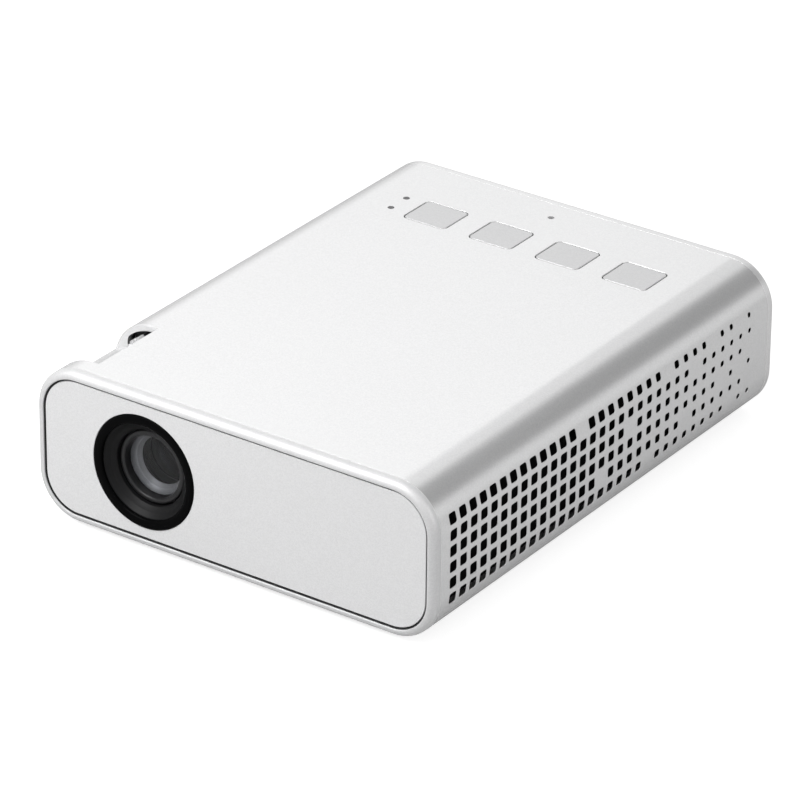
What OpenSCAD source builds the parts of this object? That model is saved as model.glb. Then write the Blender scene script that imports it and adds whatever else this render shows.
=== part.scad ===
// Pocket LED projector with a rounded-rectangle body, millimetres.
// Origin: centre of the footprint on the surface it stands on. Front faces -Y, top faces +Z.
// "Depth" always means the distance behind the front face.

/* [Body] */
// Width of the body, left to right
body_w = 83; // [82:0.5:90]
// Depth of the body, front to rear
body_d = 106; // [104:1:118]
// Height of the body without its feet
body_h = 29; // [28.5:0.5:33]
// Radius of the four long edges of the body
corner_r = 8.5; // [8.2:0.1:9]
// Wall of the upper shell
shell_t = 1.5; // [1.3:0.05:1.6]
// Thickness of the bottom cover
cover_t = 1.5; // [1.3:0.05:1.8]
// Clearance around the bottom cover in its window
cover_gap = 0.15; // [0.1:0.05:0.3]
// Length of the bottom cover
cover_len = 90; // [88:1:92]

/* [Feet and fasteners] */
// Radius of a rubber foot
foot_r = 4; // [3:0.25:4.5]
// How far the feet stand proud of the bottom
foot_proud = 0.6; // [0.4:0.1:1.2]
// How deep the feet sit in the cover
foot_sink = 0.6; // [0.4:0.1:0.8]
// Distance of a foot from the middle of the body
foot_x = 26; // [24:0.5:27]
// Depth of the front feet, and distance of the rear feet from the rear face
foot_inset = 18; // [17:0.5:22]
// Radius of a screw post
post_r = 2.2; // [2:0.1:2.3]
// Distance of a screw post from the middle of the body
post_x = 30; // [30:0.1:30.4]
// Depth of the front screw posts
post_front = 11; // [10:0.5:13]
// Distance of the rear screw posts from the rear face
post_rear = 28; // [26:0.5:29]
// Radius of the shank of a small screw
screw_r = 0.75; // [0.6:0.05:0.85]
// Radius of the head of a small screw
screw_head_r = 1.6; // [1.3:0.1:1.8]
// Core radius of the tripod thread
tripod_core_r = 2.55; // [2.4:0.05:3]
// Outer radius of the tripod insert
tripod_insert_r = 4.2; // [3.8:0.1:5]
// Length of the tripod thread
tripod_len = 6; // [5:0.5:7]

/* [Front] */
// Depth of the polished rim along the side of the body
rim_d = 2; // [1.9:0.1:2.6]
// Width of the polished rim seen from the front
rim_w = 1.5; // [1.2:0.1:1.8]
// Length of the bezel inside the shell
spigot_len = 2.5; // [2:0.1:2.5]
// Wall of the bezel inside the shell
spigot_t = 1.4; // [1.2:0.1:1.4]
// Thickness of the front panel
panel_t = 1.2; // [1:0.05:1.25]
// How far the front panel lies behind the rim
panel_recess = 0.25; // [0.1:0.05:0.3]
// Gap between the front panel and the rim
panel_gap = 0.35; // [0.2:0.05:0.5]
// Thickness of the black gasket behind the front panel
gasket_t = 0.15; // [0.1:0.05:0.2]

/* [Rear] */
// Depth of the rim around the rear panel
rear_rim_d = 1.8; // [1.6:0.1:2.4]
// How far the rear panel lies inside its rim
rear_recess = 0.8; // [0.4:0.1:1]
// Thickness of the rear panel
rear_panel_t = 2; // [1.6:0.1:2]
// Clearance of a socket in the rear panel
socket_gap = 0.2; // [0.1:0.05:0.3]
// How far the sockets stop short of the rear panel's outer face
socket_inset = 0.2; // [0.1:0.05:0.5]
// Position of the video socket, from the middle of the body
video_x = -24; // [-25:0.5:-22.5]
// Position of the charging socket, from the middle of the body
charge_x = -9.5; // [-10.5:0.5:-8.5]
// Position of the data socket, from the middle of the body
data_x = 9; // [8.5:0.5:9.5]
// Position of the headphone socket, from the middle of the body
audio_x = 21.5; // [20.5:0.5:22]
// Position of the power switch, from the middle of the body
switch_x = 30; // [29.5:0.25:30.5]
// Bore radius of the headphone socket
audio_bore_r = 1.8; // [1.75:0.05:1.9]
// Length of the bore of the headphone socket
audio_bore_len = 12; // [10:0.5:13]
// Travel of the power slider
switch_travel = 2; // [1:0.25:2.5]

/* [Vents] */
// Pitch of the vent holes, both ways
vent_pitch = 2.98; // [2.9:0.02:3.1]
// Rows of vent holes
vent_rows = 6; // [4:1:6]
// Depth of the first column of vent holes
vent_first = 5.66; // [5.5:0.1:7]
// Distance from the last column of vent holes to the rear face, at least
vent_tail = 7.5; // [7.3:0.1:9]
// Height of the middle of the vents above the bottom
vent_mid = 15; // [14:0.25:15.5]
// Side of a front hole as a share of the pitch
vent_fill = 0.66; // [0.5:0.02:0.7]
// Side of the last hole as a share of the pitch
vent_fill_end = 0.3; // [0.2:0.02:0.5]
// Columns of full-size holes before they start to shrink
vent_full_cols = 14; // [8:1:20]
// Columns at the front that the left side lacks
vent_left_skip = 11; // [10:1:18]
// Thickness of the black mesh behind the vents
mesh_t = 0.4; // [0.3:0.05:0.6]

/* [Keys] */
// Number of keys in the row
key_count = 4; // [4:1:4]
// Width of a key
key_w = 8.9; // [8:0.1:9.1]
// Depth of a key, front to rear
key_d = 8.1; // [7:0.1:8.6]
// Pitch of the key row
key_pitch = 14.2; // [13.8:0.1:14.4]
// Offset of the key row from the middle of the body
key_mid_x = 2.25; // [1.75:0.25:2.75]
// Distance of the key row from the rear face
key_rear = 18.2; // [17.5:0.1:19]
// Clearance around a key in the shell
key_gap = 0.2; // [0.15:0.05:0.3]
// Travel of a key
key_travel = 0.4; // [0.2:0.05:0.5]
// Radius of the corners of a key
key_corner_r = 0.9; // [0.5:0.1:1.5]
// Width of the retaining flange around the foot of a key
key_flange = 0.65; // [0.5:0.05:0.7]
// Radius of a status light
light_r = 0.6; // [0.4:0.05:0.8]
// Distance of the status lights left of the middle of the body
light_x = 27.5; // [27:0.25:28]
// Distance between the two status lights
light_pitch = 4.9; // [4:0.1:5.5]
// Radius of the reset pinhole
pinhole_r = 0.6; // [0.4:0.05:0.8]
// Distance of the reset pinhole from the rear face
pinhole_rear = 6.8; // [6.6:0.1:7.2]

/* [Lens] */
// Distance of the lens axis from the left side
lens_in = 22.85; // [22.8:0.05:23.5]
// Height of the lens axis above the bottom
lens_up = 14.35; // [14.2:0.05:15]
// Outer radius of the lens trim ring
trim_r = 10.7; // [10.4:0.1:11]
// Inner radius of the lens trim ring
trim_in_r = 8.95; // [8.5:0.05:9.2]
// Radius of the rear end of the lens hood
hood_in_r = 7.1; // [7.05:0.05:7.4]
// Outer radius of the lens barrel
barrel_r = 6.8; // [6.5:0.05:6.85]
// Depth of the front end of the lens barrel at rest
barrel_front = 2.6; // [2.2:0.1:3]
// Depth of the rear end of the lens barrel at rest
barrel_rear = 27; // [26.5:0.25:28]
// Radius of the front lens
glass_r = 5.95; // [5.5:0.05:6]
// Running clearance of shafts, barrel and focus ring
run_gap = 0.05; // [0.03:0.01:0.08]
// Wall of the tube that guides the barrel
guide_t = 1.45; // [1.3:0.05:1.6]

/* [Focus drive] */
// Module of the two focus gears
gear_m = 0.5; // [0.49:0.01:0.51]
// Teeth of the thumb wheel
wheel_teeth = 20; // [18:1:20]
// Teeth of the focus ring
ring_teeth = 44; // [43:1:45]
// Angle of the thumb wheel above the lens axis
wheel_angle = 29.5; // [29:0.25:30.5]
// Depth of the front face of the thumb wheel
wheel_front = 20; // [19.5:0.25:20.5]
// Thickness of the thumb wheel
wheel_t = 4; // [3:0.25:4]
// Radius of the thumb wheel's axle
axle_r = 0.8; // [0.6:0.05:1]
// Turn of the thumb wheel each way
wheel_turn = 150; // [90:5:150]
// Travel of the lens barrel each way
focus_travel = 1; // [0.5:0.05:1.2]
// Radius of the cam pin
cam_pin_r = 0.6; // [0.5:0.05:0.7]

/* [Thumb scoop] */
// Distance of the scoop's inner edge from the left side
scoop_in = 9.6; // [9:0.1:10]
// Drop of the scoop's outer edge below the top
scoop_down = 6.6; // [6:0.1:7]
// Hollow of the scoop's floor
scoop_sag = 1; // [0.6:0.1:1.2]
// Depth of the front edge of the scoop
scoop_front = 5; // [4.6:0.1:6]
// Length of the front ramp of the scoop
scoop_ramp_front = 4.5; // [3:0.25:6]
// Depth where the rear ramp of the scoop starts
scoop_ramp_start = 16.9; // [15:0.25:17.5]
// Length of the rear ramp of the scoop
scoop_ramp_rear = 6.6; // [6:0.2:7.6]
// Wall below the scoop's floor
scoop_wall = 1.3; // [1:0.1:1.4]

/* [Inside] */
// Height of the main board above the bottom cover
board_up = 12.4; // [12:0.1:12.6]
// Thickness of the main board
board_t = 1.6; // [1.2:0.1:1.6]
// Thickness of the battery pack
battery_t = 10; // [8:0.5:10]
// Length of the battery pack, front to rear
battery_len = 30; // [24:1:31]
// Side of the square fan
fan_size = 25; // [24:0.5:25]
// Thickness of the fan
fan_t = 8; // [7:0.5:8]
// Depth of the fan's axis
fan_depth = 32.5; // [32.5:0.5:33.5]
// Radius of the speaker
speaker_r = 8.5; // [8:0.1:8.6]
// Depth of the speaker's axis
speaker_depth = 57; // [56.5:0.25:57]
// Depth of the rear wall of the light engine
engine_rear = 60; // [58:0.5:60]
// Width of the light engine's housing
engine_w = 26.5; // [26:0.25:26.7]
// Wall of the light engine's housing
engine_t = 1.5; // [1.2:0.1:1.8]

/* [Hidden] */
$fn = 64;

silver = [0.90, 0.90, 0.91];
satin = [0.87, 0.87, 0.88];
polish = [0.80, 0.80, 0.82];
black = [0.06, 0.06, 0.07];
soft_black = [0.12, 0.12, 0.13];
steel = [0.66, 0.67, 0.70];
copper = [0.78, 0.45, 0.28];
board_green = [0.10, 0.32, 0.20];
clear = [0.75, 0.82, 0.88, 0.5];

// A hair of overlap that joins solids or runs a cut past a face
eps = 0.1;
front_y = -body_d / 2;
rear_y = body_d / 2;
left_x = -body_w / 2;
base_z = foot_proud;
top_z = base_z + body_h;
floor_z = base_z + cover_t;
roof_z = top_z - shell_t;
mid_z = base_z + body_h / 2;
inner_x = body_w / 2 - shell_t;
// Where the flat floor and roof end
flat_x = body_w / 2 - corner_r;
window_x = flat_x - 0.2;

// The places of the posts, feet, sockets and cover's ends are given for this body, and they follow its sides and ends
given_w = 83;
given_d = 106;
wider = (body_w - given_w) / 2;
longer = body_d - given_d;
post_at = post_x + wider;
foot_at = foot_x + wider;
cover_l = cover_len + longer;
board_x = body_w / 2 - 5.5;
spread = board_x / (board_x - wider);
video_at = video_x * spread;
charge_at = charge_x * spread;
data_at = data_x * spread;
audio_at = audio_x * spread;
switch_at = switch_x * spread;
window_corner_r = 3;

// Front
pocket_d = panel_recess + panel_t + gasket_t;
spigot_gap = 0.05;

// Screws and their holes
screw_head_t = 0.8;
fastener_gap = 0.1;
post_hole_len = 8;
cover_screw_len = 7;
rear_screw_len = 6;
rear_hole_len = 5;
standoff_screw_len = 5;
standoff_hole_len = 4;
key_board_screw_len = 4;
mount_screw_len = 3;
drive_slot_w = 0.4;
drive_slot_l = 1.8;
insert_wall = 1.6;
insert_cap = 1.2;

// Vents
vent_cols = floor((body_d - vent_first - vent_tail) / vent_pitch) + 1;
function vent_side(col) = vent_pitch * (col < vent_full_cols ? vent_fill
    : vent_fill - (vent_fill - vent_fill_end) * (col - vent_full_cols + 1) / (vent_cols - vent_full_cols));
// Columns and rows where the sides have no hole, for a broken edge to the pattern
vent_blanks = [
    [13, 0], [22, 0], [27, 0], [30, 0], [25, 1], [18, 2], [31, 2], [28, 3], [30, 3], [15, 4], [24, 4],
    [31, 4], [20, 5], [29, 5]
];
function is_blank(col, row) = len([for (b = vent_blanks) if (b == [col, row]) 1]) > 0;
mesh_h = 18;
mesh_left_front = 30;

// Feet
foot_ys = [front_y + foot_inset, rear_y - foot_inset];

// Rear
panel_out_y = rear_y - rear_recess;
panel_in_y = panel_out_y - rear_panel_t;
socket_y = panel_out_y - socket_inset;
rear_spigot_len = 2;
rear_screw_x = flat_x;
rear_screw_z = roof_z - post_r + 0.3;
rear_boss_len = 6;

// Lens and focus drive
trim_front_d = 0.05;
trim_rear_d = 0.75;
trim_round = 0.3;
hood_step_d = 2.2;
hood_wall = 1;
glass_rear_d = 7;
baffle_r = 4.2;
mid_cell_d0 = 8.2;
mid_cell_d1 = 12.4;
mid_cell_r = 4.95;
mid_seat_d = 15.5;
stop_r = 3.5;
rear_cell_d0 = 18;
rear_cell_d1 = 22.5;
rear_cell_r = 5.35;
retainer_len = 1.3;
clip_t = 0.5;
clip_sink = 0.5;
clip_reach = 1.2;
lug_r = 2.4;
axle_head_r = 0.7;
lens_x = left_x + lens_in;
lens_z = base_z + lens_up;
hood_flange_r = trim_r + 0.45;
hood_rear_d = 3.6;
guide_in_r = barrel_r + run_gap;
guide_r = guide_in_r + guide_t;
ring_pitch_r = gear_m * ring_teeth / 2;
wheel_pitch_r = gear_m * wheel_teeth / 2;
gear_dist = ring_pitch_r + wheel_pitch_r;
addendum = 0.85 * gear_m;
dedendum = 1.2 * gear_m;
ring_tip_r = ring_pitch_r + addendum;
wheel_tip_r = wheel_pitch_r + addendum;
wheel_x = lens_x - gear_dist * cos(wheel_angle);
wheel_z = lens_z + gear_dist * sin(wheel_angle);
wheel_gap = 0.35;
wheel_rear = wheel_front + wheel_t;
flange_front = wheel_rear + 0.4;
flange_t = 2;
flange_r = ring_tip_r + 0.75;
flange_rear = flange_front + flange_t;
cam_d = wheel_front + wheel_t / 2;
ring_turn = wheel_turn * wheel_teeth / ring_teeth;
cam_gap = 0.2;
clip_d0 = wheel_front - 0.7;
cam_pin_tip = guide_r + 0.75;
// The groove climbs past the cam pin as the ring turns, in short straight steps
cam_steps = 18;
cam_half = ring_turn + 4;
cam_step_a = 2 * cam_half / cam_steps;

// Thumb scoop: the floor is a cylinder about an axis along Y, outside the top left edge
scoop_p = [left_x + scoop_in, top_z];
scoop_q = [left_x, top_z - scoop_down];
scoop_chord = norm(scoop_p - scoop_q);
scoop_r = (scoop_chord * scoop_chord / 4 + scoop_sag * scoop_sag) / (2 * scoop_sag);
scoop_n = [-scoop_down, scoop_in] / scoop_chord;
scoop_c = (scoop_p + scoop_q) / 2 + (scoop_r - scoop_sag) * scoop_n;
edge_c = [left_x + corner_r, top_z - corner_r];
scoop_out_r = norm(scoop_c - edge_c) - corner_r - 0.2;
scoop_steps = 12;
pad_front = rim_d + spigot_len + 0.2;
pad_rear = wheel_rear + 0.2;

// Keys
key_y = rear_y - key_rear;
function key_x(i) = key_mid_x + (i - (key_count - 1) / 2) * key_pitch;
key_flange_top = roof_z - 0.3;
key_flange_t = 0.6;
key_foot = key_flange_top - key_flange_t;
plunger_len = 0.8;
plunger_r = 1.6;
key_switch_h = 1.5;
key_board_top = key_foot - plunger_len - key_switch_h;
key_board_t = 1;
key_board_y = [key_y - 5.8, key_y + 6.2];
key_board_end = 6.2;
key_switch_size = 6;
key_switch_floor = 0.3;
light_guide_w = 2;
boss_xs = [(key_x(0) + key_x(1)) / 2, (key_x(2) + key_x(3)) / 2];
boss_r = 1.5;
light_ys = [key_y + 2.75, key_y + 2.75 - light_pitch];
pinhole_x = -1.7;
pinhole_y = rear_y - pinhole_rear;

// Main board and battery
board_z = floor_z + board_up;
board_top = board_z + board_t;
board_front_y = rear_y - 39;
board_rear_y = rear_y - 4.8;
pin_boss_z = board_top + 2.6;
main_chip = [14, 14, 1.4];
main_chip_x = -8;
chip_front = 6;
memory_chip = [10, 6, 1];
memory_x = 10;
memory_pitch = 8;
coil_size = [4, 4, 2.4];
coil_x = -24;
coil_pitch = 5;
header_size = [5, 3, 2];
header_xs = [-24, -17, 22];
header_front = 1;
reset_size = [3.2, 3.2, 1.4];
reset_r = 0.8;
reset_h = 0.5;
standoff_r = 1.8;
standoff_x = post_at + 0.5;
standoff_ys = [rear_y - 36.5, rear_y - 14];
battery_x = post_at - post_r - 1.3;
battery_y0 = rear_y - 40;
battery_fit = 0.05;
cell_gap = 0.6;
tray_t = 1;
tray_lip = 1;
tray_wall_h = 4;
lead_r = 0.5;
ribbon_x = 24.5;
ribbon_w = 6;
ribbon_t = 0.3;
lead_y = battery_y0 - 2.2;

// Sockets and power switch
video_w = 15;
video_h = 5.6;
video_len = 10.5;
data_w = 13.2;
data_h = 5.8;
data_len = 13.5;
charge_w = 8.94;
charge_h = 3.2;
charge_len = 7.5;
audio_r = 2.6;
audio_z = board_top + 2.7;
audio_body_w = 6;
audio_body_h = 5.2;
knob_w = 3;
knob_h = 2;
knob_gap = 0.3;
stem_w = 1.6;
slide_gap = 0.25;
switch_z = board_top + 2.1;
switch_y = panel_in_y - 0.3;
switch_w = 8;
switch_l = 4;
switch_h = 4.2;
post_ys = [front_y + post_front, rear_y - post_rear];

// Light engine, fan and speaker
engine_x0 = -flat_x;
engine_x1 = engine_x0 + engine_w;
engine_top = roof_z - 1;
// The tripod insert stands beside the light engine
insert_gap = 0.7;
tripod_x = engine_x1 + tripod_insert_r + insert_wall + insert_gap;
lid_t = 1.5;
fan_x1 = flat_x;
fan_x0 = fan_x1 - fan_t;
fan_y = front_y + fan_depth;
fan_z = floor_z + fan_size / 2;
light_block_t = 3;
light_board_t = 1;
light_tube_l = 4.5;
light_front_x = engine_x1 + light_tube_l;
sink_x0 = light_front_x + light_board_t + light_block_t;
sink_base_t = 4;
sink_x1 = fan_x0 - 2;
sink_y0 = fan_y - fan_size / 2;
pipe_r = 1.5;
pipe_z = mid_z + 5;
pipe_bend_r = 5;
pipe_y = front_y + engine_rear + 4.5;
pipe_start_y = sink_y0 + 6;
housing_rear_y = front_y + engine_rear;
housing_front_y = front_y + flange_rear;
light_hole_r = 3.2;
light_block = 7;
light_block_h = 12;
light_board_h = 9;
source_ys = [sink_y0 + fan_size / 2, sink_y0 + fan_size - light_block / 2];
engine_screws = [for (sx = [-1, 1], sz = [-1, 1]) [sx * 0.707, sz * 0.707] * (flange_r - 2.1)];
prism_size = 14;
prism_gap = 0.2;
prism_y0 = front_y + 33;
imager_w = 8;
imager_h = 6;
imager_reach = 1.4;
imager_hole_r = 6;
plate_w = 6;
plate_t = 0.8;
plate_angle = 12;
fin_pitch = 2.5;
fin_t = 0.8;
fan_bore_r = fan_size / 2 - 0.8;
fan_hub_r = 5;
fan_base_t = 1;
fan_shaft_r = 0.75;
fan_bush_r = 1.8;
fan_blades = 7;
fan_spoke_w = 1.5;
fan_hole_in = 2.2;
fan_hole_r = 1.2;
blade_pitch = 38;
blade_w = 9;
blade_t = 0.6;
speaker_y = front_y + speaker_depth;
speaker_x1 = flat_x;
speaker_rim = 1;
speaker_z = floor_z + speaker_r + speaker_rim;
speaker_flange_t = 1.2;
speaker_t = 4;
speaker_cup_t = 3;
speaker_wall = 0.8;
voice_r = 3.6;
voice_hole_r = 4;
magnet_r = 6;
magnet_t = 3.5;
core_r = 3.2;
imager_t = 1.2;
clamp_w = 14;
clamp_h = 6;

// A round bar along Y from depth d0 to depth d1
module bar_y(x, z, r, d0, d1) {
    translate([x, front_y + d0, z]) rotate([-90, 0, 0]) cylinder(r = r, h = d1 - d0);
}

// A solid turned about a Y axis at (x, z); its outline holds [radius, depth] points
module turned(x, z, outline) {
    translate([x, front_y, z]) rotate([-90, 0, 0]) rotate_extrude($fn = 96) polygon(outline);
}

// A block between two corners
module block(a, b) {
    translate(a) cube(b - a);
}

module rounded_rect(w, h, r) {
    square([w - 2 * r, h], center = true);
    square([w, h - 2 * r], center = true);
    for (sx = [-1, 1], sy = [-1, 1])
        translate([sx * (w / 2 - r), sy * (h / 2 - r)]) circle(r = r);
}

// The body's cross-section shrunk by inset, from depth d0 to depth d1
module body_slab(inset, d0, d1) {
    translate([0, front_y + d1, mid_z]) rotate([90, 0, 0])
        linear_extrude(d1 - d0)
            rounded_rect(body_w - 2 * inset, body_h - 2 * inset, corner_r - inset);
}

// A frame between two insets of the body's cross-section
module body_frame(outer, inner, d0, d1) {
    difference() {
        body_slab(outer, d0, d1);
        body_slab(inner, d0 - eps, d1 + eps);
    }
}

// A rounded plate that lies flat, centred on x and y
module flat_plate(w, d, t, r) {
    linear_extrude(t) rounded_rect(w, d, r);
}

// Outline of a gear with straight-sided teeth
function gear_outline(teeth, pitch_r) = [
    for (i = [0:teeth - 1], k = [0:3])
        let (a = 360 / teeth,
             at = [-0.27, -0.1, 0.1, 0.27][k] * a,
             r = [pitch_r - dedendum, pitch_r + addendum, pitch_r + addendum, pitch_r - dedendum][k])
        [r * cos(i * a + at), r * sin(i * a + at)]
];

// A gear about a Y axis, with tooth 0 turned to the given angle in the XZ plane
module gear_y(x, z, teeth, pitch_r, turn, d0, d1) {
    translate([x, front_y + d1, z]) rotate([90, 0, 0]) rotate([0, 0, turn])
        linear_extrude(d1 - d0) polygon(gear_outline(teeth, pitch_r));
}

function ramp(t) = 0.5 - 0.5 * cos(180 * t);

// The round cut of the thumb scoop, widened by grow
function scoop_outline(grow) = concat(
    [[0, scoop_front]],
    [for (i = [0:scoop_steps])
        let (t = i / scoop_steps)
        [scoop_out_r + (scoop_r - scoop_out_r) * ramp(t) + grow, scoop_front + t * scoop_ramp_front]],
    [for (i = [0:scoop_steps])
        let (t = i / scoop_steps)
        [scoop_r - (scoop_r - scoop_out_r) * ramp(t) + grow, scoop_ramp_start + t * scoop_ramp_rear]],
    [[0, scoop_ramp_start + scoop_ramp_rear]]
);

// ---- Casing ----

// Square holes through one side wall: side is 1 on the right and -1 on the left.
// skip leaves columns out at the front, and trim leaves rows out at the top and the bottom.
module vent_cuts(side, skip, trim) {
    for (col = [skip:vent_cols - 1], row = [trim:vent_rows - 1 - trim])
        if (!is_blank(col, row)) {
            s = vent_side(col);
            y = front_y + vent_first + col * vent_pitch;
            z = base_z + vent_mid + ((vent_rows - 1) / 2 - row) * vent_pitch;
            translate([side * (inner_x - 1), y, z])
                translate([side > 0 ? 0 : -shell_t - 2, -s / 2, -s / 2]) cube([shell_t + 2, s, s]);
        }
}

// Holds the keys' board below the roof
module board_bosses() {
    for (x = boss_xs)
        translate([x, key_y, key_board_top]) cylinder(r = boss_r, h = roof_z - key_board_top + eps);
}

// Thickens the shell behind the thumb scoop
module scoop_pad() {
    intersection() {
        body_slab(shell_t / 2, pad_front, pad_rear);
        turned(scoop_c[0], scoop_c[1], [
            [0, pad_front], [scoop_r + scoop_wall, pad_front], [scoop_r + scoop_wall, pad_rear], [0, pad_rear]
        ]);
    }
}

module upper_shell() {
    color(silver) difference() {
        union() {
            body_frame(0, shell_t, rim_d, body_d - rear_rim_d);
            scoop_pad();
            for (sx = [-1, 1], y = post_ys)
                translate([sx * post_at, y, floor_z]) cylinder(r = post_r, h = roof_z - floor_z + eps);
            board_bosses();
            for (sx = [-1, 1])
                bar_y(sx * rear_screw_x, rear_screw_z, post_r,
                    body_d - rear_rim_d - rear_spigot_len - rear_boss_len, body_d - rear_rim_d - rear_spigot_len);
            translate([pinhole_x, pinhole_y, pin_boss_z]) cylinder(r = boss_r, h = roof_z - pin_boss_z + eps);
        }
        // Window for the bottom cover
        translate([0, 0, base_z - eps])
            flat_plate(2 * window_x, cover_l + 2 * cover_gap, floor_z - base_z + eps + 0.3, window_corner_r);
        // Thumb scoop and the pocket of the thumb wheel
        turned(scoop_c[0], scoop_c[1], scoop_outline(0));
        bar_y(wheel_x, wheel_z, wheel_tip_r + wheel_gap, wheel_front - wheel_gap, wheel_rear + wheel_gap);
        vent_cuts(1, 0, 0);
        vent_cuts(-1, vent_left_skip, 1);
        // Key openings, status lights and reset pinhole
        for (i = [0:key_count - 1])
            translate([key_x(i), key_y, roof_z - eps])
                flat_plate(key_w + 2 * key_gap, key_d + 2 * key_gap, shell_t + 2 * eps, key_corner_r + key_gap);
        for (y = light_ys)
            translate([-light_x, y, roof_z - eps]) cylinder(r = light_r, h = shell_t + 2 * eps);
        translate([pinhole_x, pinhole_y, pin_boss_z - eps]) cylinder(r = pinhole_r, h = body_h);
        // Screw holes
        for (sx = [-1, 1], y = post_ys)
            translate([sx * post_at, y, floor_z - eps]) cylinder(r = screw_r, h = post_hole_len);
        for (x = boss_xs)
            translate([x, key_y, key_board_top - eps]) cylinder(r = screw_r, h = key_board_screw_len - key_board_t);
        for (sx = [-1, 1])
            bar_y(sx * rear_screw_x, rear_screw_z, screw_r,
                body_d - rear_rim_d - rear_spigot_len - rear_hole_len, body_d - rear_rim_d);
    }
}

module bottom_cover() {
    color(satin) difference() {
        union() {
            translate([0, 0, base_z])
                flat_plate(2 * (window_x - cover_gap), cover_l, cover_t, window_corner_r - cover_gap);
            // Boss of the tripod insert and standoffs of the main board
            translate([tripod_x, 0, base_z]) cylinder(r = tripod_insert_r + insert_wall, h = tripod_len + insert_cap);
            for (sx = [-1, 1], y = standoff_ys)
                translate([sx * standoff_x, y, floor_z - eps]) cylinder(r = standoff_r, h = board_up + eps);
        }
        translate([tripod_x, 0, base_z - eps]) cylinder(r = tripod_insert_r, h = tripod_len + eps);
        for (sx = [-1, 1], y = foot_ys)
            translate([sx * foot_at, y, base_z - eps]) cylinder(r = foot_r, h = foot_sink + eps);
        for (sx = [-1, 1], y = post_ys)
            translate([sx * post_at, y, base_z - eps]) {
                cylinder(r = screw_r + fastener_gap, h = cover_t + 2 * eps);
                cylinder(r = screw_head_r + fastener_gap, h = screw_head_t + eps);
            }
        for (sx = [-1, 1], y = standoff_ys)
            translate([sx * standoff_x, y, board_z - standoff_hole_len])
                cylinder(r = screw_r, h = standoff_hole_len + eps);
    }
}

module front_bezel() {
    color(polish) difference() {
        union() {
            body_slab(0, 0, rim_d);
            body_slab(shell_t + spigot_gap, rim_d - eps, rim_d + spigot_len);
        }
        body_slab(rim_w, -eps, pocket_d);
        body_slab(shell_t + spigot_gap + spigot_t, pocket_d - eps, rim_d + spigot_len + eps);
    }
}

module bezel_gasket() {
    color(black) difference() {
        body_frame(rim_w, shell_t + spigot_gap + spigot_t, panel_recess + panel_t, pocket_d);
        bar_y(lens_x, lens_z, hood_flange_r, 0, rim_d);
    }
}

module front_panel() {
    color(satin) difference() {
        body_slab(rim_w + panel_gap, panel_recess, panel_recess + panel_t);
        bar_y(lens_x, lens_z, trim_r, -eps, rim_d);
    }
}

module lens_trim_ring() {
    color(black) turned(lens_x, lens_z, [
        [trim_in_r, trim_rear_d], [trim_in_r, trim_front_d + trim_round], [trim_in_r + trim_round, trim_front_d],
        [trim_r - trim_round, trim_front_d], [trim_r, trim_front_d + trim_round], [trim_r, trim_rear_d]
    ]);
}

module lens_hood() {
    color(soft_black) turned(lens_x, lens_z, [
        [trim_in_r, trim_rear_d], [hood_in_r, hood_step_d], [hood_in_r, hood_rear_d],
        [hood_in_r + hood_wall, hood_rear_d], [hood_in_r + hood_wall, hood_step_d + 0.2],
        [hood_flange_r, hood_step_d + 0.2], [hood_flange_r, panel_recess + panel_t],
        [trim_r, panel_recess + panel_t], [trim_r, trim_rear_d]
    ]);
}

// Openings of the sockets, as seen from the rear, from depth d0 to depth d1
module socket_holes(grow, d0, d1) {
    y0 = rear_y - d0;
    y1 = rear_y - d1;
    block([video_at - video_w / 2 - grow, y0, board_top - grow],
        [video_at + video_w / 2 + grow, y1, board_top + video_h + grow]);
    block([data_at - data_w / 2 - grow, y0, board_top - grow],
        [data_at + data_w / 2 + grow, y1, board_top + data_h + grow]);
    translate([charge_at, y1, board_top + charge_h / 2]) rotate([90, 0, 0])
        linear_extrude(y1 - y0) rounded_rect(charge_w + 2 * grow, charge_h + 2 * grow, charge_h / 2 + grow - 0.01);
    translate([audio_at, y0, audio_z]) rotate([-90, 0, 0]) cylinder(r = audio_r + grow, h = y1 - y0);
    block([switch_at - knob_w / 2 - switch_travel / 2 - knob_gap, y0, switch_z - knob_h / 2 - knob_gap],
        [switch_at + knob_w / 2 + switch_travel / 2 + knob_gap, y1, switch_z + knob_h / 2 + knob_gap]);
}

module rear_panel() {
    color(satin) difference() {
        union() {
            body_frame(0, rim_w, body_d - rear_rim_d, body_d);
            body_frame(0, shell_t + spigot_gap + spigot_t, body_d - rear_rim_d, body_d - rear_recess);
            body_slab(shell_t + spigot_gap, body_d - rear_recess - rear_panel_t, body_d - rear_recess);
            body_frame(shell_t + spigot_gap, shell_t + spigot_gap + spigot_t,
                body_d - rear_rim_d - rear_spigot_len, body_d - rear_rim_d + eps);
        }
        socket_holes(socket_gap, rear_recess + rear_panel_t + 4, -eps);
        for (sx = [-1, 1]) {
            bar_y(sx * rear_screw_x, rear_screw_z, screw_r + fastener_gap, body_d - rear_screw_len, body_d + eps);
            bar_y(sx * rear_screw_x, rear_screw_z, screw_head_r + fastener_gap,
                body_d - rear_recess - screw_head_t, body_d + eps);
        }
    }
}

// The black cloth behind the vents follows the inside of the side walls
module vent_meshes() {
    color(black) intersection() {
        body_frame(shell_t, shell_t + mesh_t, rim_d + spigot_len + 0.1, body_d - rear_rim_d - rear_spigot_len - 0.2);
        for (side = [-1, 1])
            block([side * body_w / 2 - 4, side > 0 ? front_y : front_y + mesh_left_front,
                base_z + vent_mid - mesh_h / 2], [side * body_w / 2 + 4, rear_y, base_z + vent_mid + mesh_h / 2]);
    }
}

// ---- Keys, boards and sockets ----

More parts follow.
